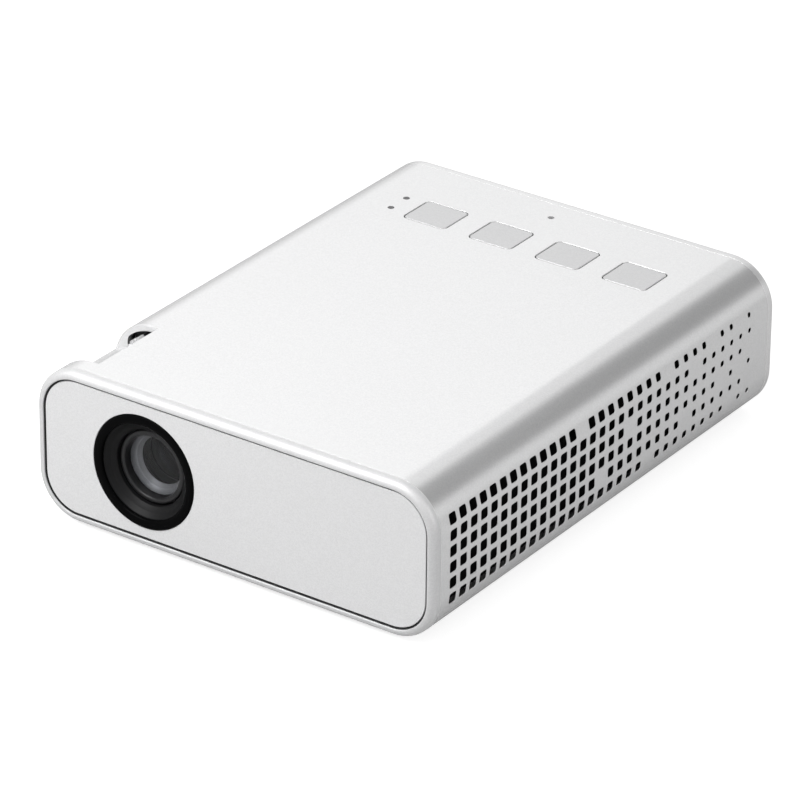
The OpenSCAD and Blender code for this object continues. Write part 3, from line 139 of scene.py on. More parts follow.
def sheet(name, outline, holes, place, normal, walls, bevels, steps=2, extra=()):
    """A skin with rounded edges at its rim and its holes.

    outline and holes are anticlockwise loops of (u, v, du, dv), where (du, dv) points out of the loop.
    place(u, v, t) gives the point t below the skin, and normal(u, v) the skin's normal. walls and bevels hold one
    depth and one rounding per loop, the outline first. A wall of 0 leaves the edge open.
    """
    loops = [(outline, -1.0)] + [(h, 1.0) for h in holes]
    flat, rings = [], []
    for (loop, sign), bevel in zip(loops, bevels):
        rings.append(list(range(len(flat), len(flat) + len(loop))))
        flat += [Vector((u + sign * du * bevel, v + sign * dv * bevel)) for u, v, du, dv in loop]
    vs, _es, fs, origin, _oe, of = geometry.delaunay_2d_cdt(flat + [Vector(p) for p in extra], [], rings, 1, 1e-7)
    new_id = {s: i for i, src in enumerate(origin) for s in src}
    faces = [tuple(f) for f, src in zip(fs, of) if src and all(s == 0 for s in src)]
    verts = [place(p[0], p[1], 0.0) for p in vs]
    norms = [Vector(normal(p[0], p[1])) for p in vs]
    for (loop, sign), ids, wall, bevel in zip(loops, rings, walls, bevels):
        if not wall:
            continue
        rows = [[new_id[i] for i in ids]]
        levels = [(bevel * (1 - SIN(PI / 2 * k / steps)), bevel * (1 - COS(PI / 2 * k / steps)), PI / 2 * k / steps)
                  for k in range(1, steps + 1)] if bevel else [(0.0, 0.0, PI / 2)]
        for off, t, a in levels + [(0.0, wall, PI / 2)]:
            rows.append(list(range(len(verts), len(verts) + len(loop))))
            for u, v, du, dv in loop:
                uu, vv = u + sign * du * off, v + sign * dv * off
                here = Vector(place(uu, vv, t))
                out = (Vector(place(uu + du * 0.01, vv + dv * 0.01, t)) - here).normalized() * -sign
                verts.append(here)
                norms.append(Vector(normal(uu, vv)).normalized() * COS(a) + out * SIN(a))
        n = len(loop)
        for a, b in zip(rows, rows[1:]):
            for i in range(n):
                j = (i + 1) % n
                faces.append((a[i], b[i], b[j], a[j]) if sign < 0 else (a[j], b[j], b[i], a[i]))
    used = {i: k for k, i in enumerate(sorted({i for f in faces for i in f}))}
    keep = sorted(used)
    return mesh(name, [verts[i] for i in keep], [tuple(used[i] for i in f) for f in faces], [norms[i] for i in keep])


def join_rings(bm, rings, closed=True):
    """Faces between neighbouring rings of points, of which one may be a single point."""
    n = max(len(ring) for ring in rings)
    for a, b in zip(rings, rings[1:] + (rings[:1] if closed else [])):
        for i in range(n):
            j = (i + 1) % n
            corners = dict.fromkeys((a[i % len(a)], b[i % len(b)], b[j % len(b)], a[j % len(a)]))
            if len(corners) > 2:
                bm.faces.new(list(corners))


def lathe(name, cx, cz, outline, n, closed=True, sharp=30, upright=False):
    """A piece turned about a Y axis at (cx, cz) from (radius, depth) points, or about an upright one from heights."""
    def point(r, d, a):
        if upright:
            return (cx + r * COS(a), cz + r * SIN(a), d)
        return (cx + r * COS(a), FRONT_Y + d, cz + r * SIN(a))

    bm = bmesh.new()
    rings = [[bm.verts.new(point(r, d, 2 * PI * i / n)) for i in range(n if r else 1)] for r, d in outline]
    join_rings(bm, rings, closed)
    return finish_mesh(name, bm, sharp)


def sweep_rr(name, section, sharp=30):
    """A rim that follows the body's rounded rectangle. section holds (inset, depth) points."""
    bm = bmesh.new()
    rows = []
    for inset, d in section:
        loop = rr(0, MID_Z, BODY_W / 2 - inset, BODY_H / 2 - inset, CORNER_R - inset, 14)
        rows.append([bm.verts.new((p[0], FRONT_Y + d, p[1])) for p in loop])
    join_rings(bm, rows)
    return finish_mesh(name, bm, sharp)


def poly_loop(points, r):
    """An anticlockwise convex outline with round corners, as a loop of (u, v, du, dv)."""
    out = []
    steps = 3
    for i, p in enumerate(points):
        p, before, after = Vector(p), Vector(points[i - 1]), Vector(points[(i + 1) % len(points)])
        e0, e1 = (p - before).normalized(), (after - p).normalized()
        a0, a1 = math.atan2(-e0.x, e0.y), math.atan2(-e1.x, e1.y)
        turn = (a1 - a0) % (2 * PI)
        c = p - e0 * r * math.tan(turn / 2) - Vector((COS(a0), SIN(a0))) * r
        for k in range(steps + 1):
            a = a0 + turn * k / steps
            out.append((c.x + r * COS(a), c.y + r * SIN(a), COS(a), SIN(a)))
    return out


def blocks(name, boxes, bevel):
    """One mesh of several blocks with rounded edges, each given by two opposite corners."""
    bm = bmesh.new()
    for lo, hi in boxes:
        made = bmesh.ops.create_cube(bm, size=1)["verts"]
        for v in made:
            v.co = Vector([lo[k] + (v.co[k] + 0.5) * (hi[k] - lo[k]) for k in range(3)])
        edges = list(dict.fromkeys(e for v in made for e in v.link_edges))
        bmesh.ops.bevel(bm, geom=edges, offset=bevel, segments=2, profile=0.5, affect="EDGES")
    return finish_mesh(name, bm)


# ---- Materials ----
def new_material(name):
    """A node material, given with its tree, its shader and its object coordinates."""
    m = bpy.data.materials.new(name)
    m.use_nodes = True
    nt = m.node_tree
    return m, nt, nt.nodes["Principled BSDF"], nt.nodes.new("ShaderNodeTexCoord").outputs["Object"]


def fill(nt, node, inputs):
    """Sets inputs of a node: a socket is linked, and anything else becomes the input's value."""
    for key, value in inputs.items():
        if isinstance(value, bpy.types.NodeSocket):
            nt.links.new(value, node.inputs[key])
        else:
            node.inputs[key].default_value = value


def add(nt, kind, inputs, **props):
    n = nt.nodes.new(kind)
    for k, v in props.items():
        setattr(n, k, v)
    fill(nt, n, inputs)
    return n


def ramp(nt, fac, stops):
    n = add(nt, "ShaderNodeValToRGB", {"Fac": fac})
    cr = n.color_ramp
    while len(cr.elements) < len(stops):
        cr.elements.new(0.5)
    for e, (p, c) in zip(cr.elements, stops):
        e.position = p
        e.color = (*c, 1)
    return n.outputs["Color"]


def noise(nt, co, scale, detail=3.0, rough=0.55):
    inputs = {"Vector": co, "Scale": scale, "Detail": detail, "Roughness": rough}
    return add(nt, "ShaderNodeTexNoise", inputs).outputs["Fac"]


def cells(nt, co, scale, output, feature="F1"):
    return add(nt, "ShaderNodeTexVoronoi", {"Vector": co, "Scale": scale}, feature=feature).outputs[output]


def stretched(nt, co, scale):
    return add(nt, "ShaderNodeMapping", {"Vector": co, "Scale": scale}).outputs["Vector"]


def rescale(nt, value, limits, **props):
    """A value moved to another range. limits holds the ends by input: 1 and 2 are the old ones, 3 and 4 the new."""
    return add(nt, "ShaderNodeMapRange", {"Value": value, **limits}, **props).outputs[0]


def calc(nt, operation, *values):
    return add(nt, "ShaderNodeMath", dict(enumerate(values)), operation=operation).outputs[0]


def mix_colour(nt, fac, a, b):
    """Colour a where fac is 0 and b where it is 1. Inputs 6 and 7 and output 2 are the node's colour ones."""
    return add(nt, "ShaderNodeMix", {0: fac, 6: a, 7: b}, data_type="RGBA").outputs[2]


def bump(nt, height, distance, strength):
    return add(nt, "ShaderNodeBump", {"Height": height, "Distance": distance, "Strength": strength}).outputs["Normal"]


def shade(c, k):
    return tuple(min(1.0, x * k) for x in c)


def finish(name, base, rough, vary, metal=0.0, vary_scale=60.0, rough_vary=0.05, grain=0.0, grain_scale=3000.0,
           coat=0.0, spec=0.5, stretch=None):
    """A moulded, painted or metal surface: soft colour variation, uneven gloss and a grain as deep as given in mm."""
    m, nt, b, co = new_material(name)
    if stretch:
        co = stretched(nt, co, stretch)
    col = ramp(nt, noise(nt, co, vary_scale), [(0.3, shade(base, 1 - vary)), (0.7, shade(base, 1 + vary))])
    patches = noise(nt, co, vary_scale * 7, 2.0)
    fill(nt, b, {
        "Base Color": col, "Metallic": metal, "Specular IOR Level": spec, "Coat Weight": coat, "Coat Roughness": 0.05,
        "Roughness": rescale(nt, patches, {3: max(0.02, rough - rough_vary), 4: rough + rough_vary})})
    if grain:
        fill(nt, b, {"Normal": bump(nt, noise(nt, co, grain_scale, 2.0, 0.5), grain * MM, 0.6)})
    return m


def silver_paint(name, base, metal, rough):
    """Satin silver lacquer: metal flakes under a thin clear layer, with a very fine sprayed grain."""
    m, nt, b, co = new_material(name)
    flakes = add(nt, "ShaderNodeSeparateColor", {"Color": cells(nt, co, 5200.0, "Color")}).outputs[0]
    fill(nt, b, {
        "Base Color": ramp(nt, flakes, [(0.0, shade(base, 0.955)), (0.55, base), (1.0, shade(base, 1.04))]),
        "Roughness": rescale(nt, noise(nt, co, 38.0, 2.0), {3: rough - 0.03, 4: rough + 0.03}),
        "Metallic": metal, "Coat Weight": 0.2, "Coat Roughness": 0.2,
        "Normal": bump(nt, noise(nt, co, 4200.0, 2.0), 0.004 * MM, 0.5)})
    return m


def glass_material(name, tint, ior=1.5):
    m, nt, b, co = new_material(name)
    fill(nt, b, {
        "Base Color": ramp(nt, noise(nt, co, 90.0, 2.0), [(0.3, shade(tint, 0.97)), (0.7, tint)]),
        "Roughness": rescale(nt, noise(nt, co, 700.0), {3: 0.0, 4: 0.02}), "IOR": ior, "Transmission Weight": 1.0})
    return m


def weave_material(name, dark, light, pitch):
    """A plain black weave."""
    m, nt, b, co = new_material(name)
    xyz = add(nt, "ShaderNodeSeparateXYZ", {"Vector": co}).outputs
    waves = [calc(nt, "SINE", calc(nt, "MULTIPLY", xyz[axis], 2 * PI / pitch)) for axis in ("Y", "Z")]
    height = rescale(nt, calc(nt, "MULTIPLY", *waves), {1: -1.0, 2: 1.0})
    fill(nt, b, {
        "Base Color": ramp(nt, height, [(0.2, dark), (0.8, light)]), "Roughness": 0.95, "Specular IOR Level": 0.05,
        "Normal": bump(nt, height, pitch * 0.3, 0.8)})
    return m


def board_material(name):
    """Green solder mask with copper tracks showing through it and dots of bare metal."""
    m, nt, b, co = new_material(name)
    tracks = cells(nt, stretched(nt, co, (1, 1, 0.2)), 420.0, "Distance", "DISTANCE_TO_EDGE")
    mask = ramp(nt, tracks, [(0.04, (0.035, 0.16, 0.075)), (0.09, (0.012, 0.085, 0.035))])
    pads = rescale(nt, cells(nt, co, 600.0, "Distance"), {1: 0.1, 2: 0.14, 3: 1.0, 4: 0.0})
    fill(nt, b, {
        "Base Color": mix_colour(nt, pads, mask, (0.75, 0.62, 0.35, 1)), "Roughness": 0.35,
        "Normal": bump(nt, tracks, 0.05 * MM, 0.4)})
    return m


SILVER = (0.86, 0.86, 0.865)
LOOK = {
    "shell": silver_paint("shell_silver", SILVER, 0.6, 0.24),
    "panel": silver_paint("front_panel_silver", (0.785, 0.785, 0.79), 0.3, 0.4),
    "keys": silver_paint("key_silver", (0.66, 0.66, 0.665), 0.45, 0.32),
    "rear": finish("rear_panel_plastic", (0.60, 0.60, 0.61), 0.45, metal=0.15, vary=0.02, grain=0.01, grain_scale=2600),
    "rear_rim": silver_paint("rear_rim_silver", SILVER, 0.5, 0.3),
    "cover": finish("bottom_cover_plastic", (0.66, 0.66, 0.67), 0.5, metal=0.1, vary=0.02, grain=0.012,
                    grain_scale=1900),
    # The rim is the shell's silver paint made darker: painted shade that holds down the key light's highlight on its
    # rounding
    "rim": silver_paint("front_rim_silver_painted_shade", (0.68, 0.68, 0.685), 0.3, 0.5),
    "gasket": finish("gasket_rubber", (0.012, 0.012, 0.013), 0.75, vary=0.2, grain=0.01),
    "gloss_black": finish("trim_gloss_black", (0.0025, 0.0025, 0.0027), 0.22, vary=0.1, rough_vary=0.03, spec=0.02),
    "hood_black": finish("hood_black", (0.008, 0.008, 0.0085), 0.45, vary=0.12, grain=0.006, grain_scale=4000,
                         spec=0.16),
    "barrel_black": finish("barrel_black", (0.011, 0.011, 0.012), 0.34, vary=0.1, spec=0.42),
    "stop_grey": finish("stop_ring_grey", (0.3, 0.3, 0.305), 0.38, metal=0.35, vary=0.08),
    "black_plastic": finish("black_plastic", (0.02, 0.02, 0.021), 0.45, vary=0.1, grain=0.008),
    "rubber": finish("foot_rubber", (0.03, 0.03, 0.031), 0.8, vary=0.12, grain=0.02, grain_scale=1500),
    "wheel_face": silver_paint("wheel_face_silver", (0.6, 0.6, 0.605), 0.42, 0.3),
    "wheel_rubber": finish("wheel_rubber", (0.008, 0.008, 0.0085), 0.6, vary=0.15, grain=0.01, spec=0.3),
    "steel": finish("bright_steel", (0.62, 0.62, 0.64), 0.28, metal=1.0, vary=0.04, stretch=(1, 8, 1)),
    "nickel": finish("socket_nickel", (0.70, 0.70, 0.72), 0.24, metal=1.0, vary=0.03, stretch=(8, 1, 1)),
    "gold": finish("contact_gold", (0.86, 0.62, 0.28), 0.25, metal=1.0, vary=0.05),
    "brass": finish("insert_brass", (0.76, 0.60, 0.33), 0.3, metal=1.0, vary=0.05),
    "copper": finish("copper", (0.78, 0.42, 0.26), 0.3, metal=1.0, vary=0.07, grain=0.01),
    "alloy": finish("fin_alloy", (0.55, 0.56, 0.58), 0.38, metal=1.0, vary=0.05, stretch=(1, 1, 14)),
    "board": board_material("board_green"),
    "chip": finish("chip_epoxy", (0.025, 0.025, 0.027), 0.5, vary=0.15, grain=0.006, grain_scale=5000),
    "wrap": finish("cell_wrap", (0.05, 0.14, 0.34), 0.35, vary=0.06, grain=0.01, grain_scale=500),
    "cone": finish("cone_paper", (0.05, 0.05, 0.055), 0.85, vary=0.25, vary_scale=700, grain=0.03, grain_scale=900),
    "lead": finish("lead_sleeves", (0.30, 0.03, 0.03), 0.4, vary=0.1),
    "pipe": finish("light_pipe_smoke", (0.03, 0.03, 0.033), 0.18, vary=0.2, coat=0.5),
    "glass": glass_material("lens_glass", (0.93, 0.96, 1.0)),
    "coated": glass_material("lens_glass_coated", (0.72, 0.73, 0.75), ior=1.22),
    "cloth": weave_material("vent_cloth", (0.001, 0.001, 0.001), (0.006, 0.006, 0.006), 0.0005),
}

# The look of each CAD node
NODE_LOOK = {
    "shell": ["upper_shell"], "cover": ["bottom_cover"], "rim": ["front_bezel"], "gasket": ["bezel_gasket"],
    "panel": ["front_panel"], "gloss_black": ["lens_trim_ring"], "hood_black": ["lens_hood"], "rear": ["rear_panel"],
    "cloth": ["vent_meshes"], "keys": ["key_%d" % i for i in range(1, 5)],
    "black_plastic": ["key_plunger_%d" % i for i in range(1, 5)] + [
        "power_slider", "battery_tray", "engine_housing", "fan_frame", "fan_rotor", "speaker_frame", "lens_mount",
        "focus_ring", "focus_wheel", "audio_jack"],
    "board": ["key_board", "main_board", "imager_board"], "chip": ["board_parts"],
    "nickel": ["video_socket", "data_socket", "charge_socket"],
    "steel": ["key_switches", "power_switch", "engine_lid", "speaker_magnet", "ring_clip", "focus_axle", "cover_screws",
              "inner_screws"],
    "pipe": ["status_light_pipes"], "wrap": ["battery_pack"], "glass": ["prism", "rear_lenses"],
    "coated": ["dichroic_plates", "front_lens"], "copper": ["light_modules", "heat_pipe", "fan_stator"],
    "alloy": ["heat_sink"], "cone": ["speaker_cone"], "barrel_black": ["lens_barrel", "lens_retainer"],
    "brass": ["tripod_insert"], "rubber": ["rubber_feet"], "lead": ["inner_leads"],
}
for key, names in NODE_LOOK.items():
    for n in names:
        for s in nodes[n].material_slots:
            s.material = LOOK[key]
        if not nodes[n].material_slots:
            nodes[n].data.materials.append(LOOK[key])


def dress(o, key, body, *replaced):
    """Gives a piece its material, the body it rides on and the CAD nodes it stands for."""
    o.data.materials.append(LOOK[key])
    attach(o, body)
    if replaced:
        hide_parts(*replaced)


# ---- Upper shell ----
# Lengths s round the shell, from the left edge of the window in its underside to where each arc or flat begins
ARC = CORNER_R * PI / 2
SIDE, TOP = FLAT_Z1 - FLAT_Z0, 2 * FLAT_X
S_ARC1 = FLAT_X - WINDOW_X
S_SIDE1 = S_ARC1 + ARC
S_ARC2 = S_SIDE1 + SIDE
S_TOP = S_ARC2 + ARC
S_ARC3 = S_TOP + TOP
S_SIDE2 = S_ARC3 + ARC
S_ARC4 = S_SIDE2 + SIDE
S_END = S_ARC4 + ARC + S_ARC1


def profile(s):
    """Point and outward normal (x, z, nx, nz) at length s round the shell."""
    if s < S_ARC1:
        return -WINDOW_X - s, BASE_Z, 0.0, -1.0
    if s < S_SIDE1:
        cx, cz, a = -FLAT_X, FLAT_Z0, -PI / 2 - (s - S_ARC1) / CORNER_R
    elif s < S_ARC2:
        return -BODY_W / 2, FLAT_Z0 + s - S_SIDE1, -1.0, 0.0
    elif s < S_TOP:
        cx, cz, a = -FLAT_X, FLAT_Z1, PI - (s - S_ARC2) / CORNER_R
    elif s < S_ARC3:
        return -FLAT_X + s - S_TOP, TOP_Z, 0.0, 1.0
    elif s < S_SIDE2:
        cx, cz, a = FLAT_X, FLAT_Z1, PI / 2 - (s - S_ARC3) / CORNER_R
    elif s < S_ARC4:
        return BODY_W / 2, FLAT_Z1 - (s - S_SIDE2), 1.0, 0.0
    elif s < S_ARC4 + ARC:
        cx, cz, a = FLAT_X, FLAT_Z0, -(s - S_ARC4) / CORNER_R
    else:
        return FLAT_X - (s - S_ARC4 - ARC), BASE_Z, 0.0, -1.0
    return cx + CORNER_R * COS(a), cz + CORNER_R * SIN(a), COS(a), SIN(a)


def shell_place(s, y, t):
    x, z, nx, nz = profile(s)
    return (x - nx * t, y, z - nz * t)


def shell_normal(s, _y):
    _x, _z, nx, nz = profile(s)
    return (nx, 0.0, nz)


def side_s(z, right):
    """Length s of the side wall's point at height z."""
    if z > FLAT_Z1:
        d = CORNER_R * math.asin((z - FLAT_Z1) / CORNER_R)
    elif z < FLAT_Z0:
        d = -CORNER_R * math.asin((FLAT_Z0 - z) / CORNER_R)
    else:
        d = 0.0
    flat = min(max(z, FLAT_Z0), FLAT_Z1)
    return (S_ARC4 - (flat - FLAT_Z0) - d) if right else (S_SIDE1 + (flat - FLAT_Z0) + d)


# Vents: the height of the grid's middle, the rounding of a hole's corners and of its edge, and its wall's depth.
# BLANK lists the (column, row) places with no hole. The left side has holes on its flat rows, from LEFT_FROM on.
VENT_Z, VENT_R, VENT_BEVEL, VENT_T = 15.6, 0.32, 0.07, 0.12
LEFT_FROM = 11
BLANK = {(13, 0), (22, 0), (27, 0), (30, 0), (25, 1), (18, 2), (31, 2), (28, 3), (30, 3), (15, 4), (24, 4), (31, 4),
         (20, 5), (29, 5)}


def vent_side(col):
    """Side of a hole: it shrinks over the rear columns."""
    k = 0.66 if col < 14 else 0.66 - 0.36 * (col - 13) / 18
    return k * VENT_PITCH


def vent_hole(right, y, z, side):
    """A vent hole as a loop in (s, y)."""
    s0, s1 = sorted((side_s(z - side / 2, right), side_s(z + side / 2, right)))
    return rr((s0 + s1) / 2, y, (s1 - s0) / 2, side / 2, VENT_R, 2)


# Thumb scoop: a hollow turned about an axis beside the top left edge, with an upright wall at each end. P and Q are
# the ends of its chord in (x, z). GAP_R and POCKET_R bound the wheel's opening and notch, whose edges run LIP_T deep.
SCOOP_P, SCOOP_Q, SCOOP_SAG = Vector((-31.8, 29.6)), Vector((-41.5, 22.8)), 1.0
CHORD = (SCOOP_P - SCOOP_Q).length
SCOOP_R = (CHORD ** 2 / 4 + SCOOP_SAG ** 2) / (2 * SCOOP_SAG)
ACROSS = Vector((SCOOP_Q.y - SCOOP_P.y, SCOOP_P.x - SCOOP_Q.x))
SCOOP_C = (SCOOP_P + SCOOP_Q) / 2 + (SCOOP_R - SCOOP_SAG) * ACROSS / CHORD
EDGE_C = Vector((-FLAT_X, FLAT_Z1))
WHEEL_C = Vector((WHEEL_X, WHEEL_Z))
SCOOP_D0, SCOOP_D1 = 5.4, 22.0
SCOOP_LIP, SCOOP_LIP_FRONT = 0.45, 0.12
GAP_R, POCKET_R, POCKET_D0 = CORNER_R - 1.15, 5.62, 19.8
LIP_T = 1.2
HALVINGS = 46


def scoop_point(a, r):
    """Point at angle a round the scoop's axis."""
    return Vector((SCOOP_C.x + r * COS(a), SCOOP_C.y + r * SIN(a)))


def near_side(a, centre, radius):
    """Distance from the scoop's axis, at angle a, to the near side of a circle, or None if it passes by."""
    m = centre - SCOOP_C
    along = m.x * COS(a) + m.y * SIN(a)
    under = radius ** 2 - m.length_squared + along ** 2
    return along - math.sqrt(under) if under > 0 else None


def skin_s(a):
    """Length s where the ray at angle a from the scoop's axis meets the body."""
    lo, hi = S_SIDE1, S_TOP + 6.0
    for _ in range(HALVINGS):
        mid = (lo + hi) / 2
        x, z, _nx, _nz = profile(mid)
        if math.atan2(z - SCOOP_C.y, x - SCOOP_C.x) < a:
            lo = mid
        else:
            hi = mid
    return (lo + hi) / 2


def floor_end(way):
    """Angle where the scoop's floor meets the body: way 1 is the top edge and -1 the side edge."""
    tip = math.atan2(EDGE_C.y - SCOOP_C.y, EDGE_C.x - SCOOP_C.x)
    lo, hi = tip, tip + way * 0.6
    for _ in range(HALVINGS):
        mid = (lo + hi) / 2
        x, z, _nx, _nz = profile(skin_s(mid))
        if (Vector((x, z)) - SCOOP_C).length < SCOOP_R:
            lo = mid
        else:
            hi = mid
    return (lo + hi) / 2


def scoop_columns():
    """Angles across the scoop from the side edge to the top edge, with the borders of the wheel's notch among them."""
    mid = WHEEL_C - SCOOP_C
    centre = math.atan2(mid.y, mid.x)
    half = math.acos((SCOOP_R ** 2 + mid.length_squared - POCKET_R ** 2) / (2 * SCOOP_R * mid.length))
    a0, a1 = floor_end(-1), floor_end(1)
    left, right = centre - half, centre + half
    tip = left - 0.45 / SCOOP_R
    parts = [0.0, 0.05] + [0.15 + 0.85 * k / 6 for k in range(6)]
    out = [a0 + (tip - a0) * part for part in parts]
    for start, end, n in ((tip, left, 3), (left, right, 28), (right, a1, 5)):
        out += [start + (end - start) * k / n for k in range(n)]
    return out + [a1 - 0.04 / SCOOP_R, a1], tip, left, right


COLUMNS, TIP_A, NOTCH_A0, NOTCH_A1 = scoop_columns()
COLUMN_S = [skin_s(a) for a in COLUMNS]


def wall_end(a):
    """Distance from the scoop's axis to the bottom of the rear wall: the top of the wheel's opening, or the floor."""
    if a <= TIP_A or a >= NOTCH_A1:
        return SCOOP_R
    rays = [r for r in (near_side(a, EDGE_C, GAP_R), near_side(a, WHEEL_C, POCKET_R)) if r is not None]
    top = min(rays + [SCOOP_R])
    round_off = 1.3 / SCOOP_R
    if a < TIP_A + round_off:
        top = SCOOP_R + (top - SCOOP_R) * math.sqrt(1 - (1 - (a - TIP_A) / round_off) ** 2)
    return top


def end_room(k, bottom, lip):
    """Rounding of an end wall's top edge at a column, which runs out where the wall does."""
    x, z, _nx, _nz = profile(COLUMN_S[k])
    return min(lip, 0.45 * max(0.0, bottom - (Vector((x, z)) - SCOOP_C).length))


REAR_LIPS = [end_room(k, wall_end(a), SCOOP_LIP) for k, a in enumerate(COLUMNS)]
FRONT_LIPS = [end_room(k, SCOOP_R, SCOOP_LIP_FRONT) for k in range(len(COLUMNS))]


def scoop_loop():
    """Border of the scoop in the skin, anticlockwise in (s, y)."""
    y0, y1 = FRONT_Y + SCOOP_D0, FRONT_Y + SCOOP_D1
    front = [(s, y0 - b) for s, b in zip(COLUMN_S, FRONT_LIPS)]
    rear = [(s, y1 + b) for s, b in zip(COLUMN_S, REAR_LIPS)]
    sides = [y0 + (y1 - y0) * k / 8 for k in range(1, 8)]
    loop = front + [(COLUMN_S[-1], y) for y in sides] + rear[::-1] + [(COLUMN_S[0], y) for y in sides[::-1]]
    return [(s, y, 0.0, 0.0) for s, y in loop]


def scoop_wall(bm, y, way, lips, ends):
    """An end wall with a rounded top edge: way 1 is the rear wall. Gives the row of points along its bottom."""
    rows = []
    steps = 5
    for j in range(steps + 1):
        f = PI / 2 * j / steps
        row = []
        for s, b in zip(COLUMN_S, lips):
            x, z, nx, nz = profile(s)
            t = b * (1 - COS(f))
            row.append(bm.verts.new((x - nx * t, y + way * b * (1 - SIN(f)), z - nz * t)))
        rows.append(row)
    for part in (0.5, 1.0):
        row = []
        for a, r, top in zip(COLUMNS, ends, rows[steps]):
            p = scoop_point(a, r)
            row.append(bm.verts.new((top.co.x + (p.x - top.co.x) * part, y, top.co.z + (p.y - top.co.z) * part)))
        rows.append(row)
    for a, b in zip(rows, rows[1:]):
        for i in range(len(a) - 1):
            bm.faces.new((a[i], a[i + 1], b[i + 1], b[i]))
    return rows[-1]


def build_scoop():
    y0, y1 = FRONT_Y + SCOOP_D0, FRONT_Y + SCOOP_D1
    bm = bmesh.new()
    ends = [wall_end(a) for a in COLUMNS]
    bottom = scoop_wall(bm, y1, 1, REAR_LIPS, ends)
    scoop_wall(bm, y0, -1, FRONT_LIPS, [SCOOP_R] * len(COLUMNS))
    # The opening's lip runs back under the skin
    first, left, last = (COLUMNS.index(a) for a in (TIP_A, NOTCH_A0, NOTCH_A1))
    back = []
    for v in bottom[first:last + 1]:
        back.append(bm.verts.new((v.co.x, y1 + LIP_T, v.co.z)))
    for i in range(len(back) - 1):
        bm.faces.new((bottom[first + i], bottom[first + i + 1], back[i + 1], back[i]))
    # The floor, with a notch for the wheel behind its row n
    n = 10
    ys = [y0 + (POCKET_D0 + FRONT_Y - y0) * k / n for k in range(n + 1)] + [y1, y1 + LIP_T]
    verts = []
    for y in ys:
        row = []
        for a in COLUMNS:
            p = scoop_point(a, SCOOP_R)
            row.append(bm.verts.new((p.x, y, p.y)))
        verts.append(row)
    for j in range(n + 2):
        for i in range(len(COLUMNS) - 1):
            if (j >= n and left <= i < last) or (j > n and not first <= i < left):
                continue
            bm.faces.new((verts[j][i], verts[j][i + 1], verts[j + 1][i + 1], verts[j + 1][i]))
    # Notch walls
    path = [(verts[n + 2][left], NOTCH_A0), (verts[n + 1][left], NOTCH_A0)]
    path += [(verts[n][i], COLUMNS[i]) for i in range(left, last + 1)] + [(verts[n + 1][last], NOTCH_A1)]
    deep = []
    for v, a in path:
        p = scoop_point(a, SCOOP_R + LIP_T)
        deep.append(bm.verts.new((p.x, v.co.y, p.y)))
    for i in range(len(path) - 1):
        bm.faces.new((path[i][0], path[i + 1][0], deep[i + 1], deep[i]))
    bmesh.ops.remove_doubles(bm, verts=bm.verts, dist=1e-4)
    bmesh.ops.delete(bm, geom=[v for v in bm.verts if not v.link_faces], context="VERTS")
    scoop = finish_mesh("thumb_scoop", bm, 38)
    dress(scoop, "shell", "casing", "upper_shell")
    # Black wall behind the wheel
    well = bmesh.new()
    rows = []
    for y in (FRONT_Y + WHEEL_D1 + 0.25, FRONT_Y + WHEEL_D1 + 0.75):
        for deeper in (-0.1, 1.0):
            row = []
            for a, r in zip(COLUMNS, ends):
                p = scoop_point(a, (r if deeper < 0 else SCOOP_R) + deeper)
                row.append(well.verts.new((p.x, y, p.y)))
            rows.append(row)
    rows = [rows[0], rows[1], rows[3], rows[2], rows[0]]
    for a, b in zip(rows, rows[1:]):
        for i in range(first - 2, last + 2):
            well.faces.new((a[i], a[i + 1], b[i + 1], b[i]))
    for i in (first - 2, last + 2):
        well.faces.new((rows[0][i], rows[1][i], rows[2][i], rows[3][i]))
    bmesh.ops.delete(well, geom=[v for v in well.verts if not v.link_faces], context="VERTS")
    dress(finish_mesh("wheel_well_wall", well, 30), "black_plastic", "casing")


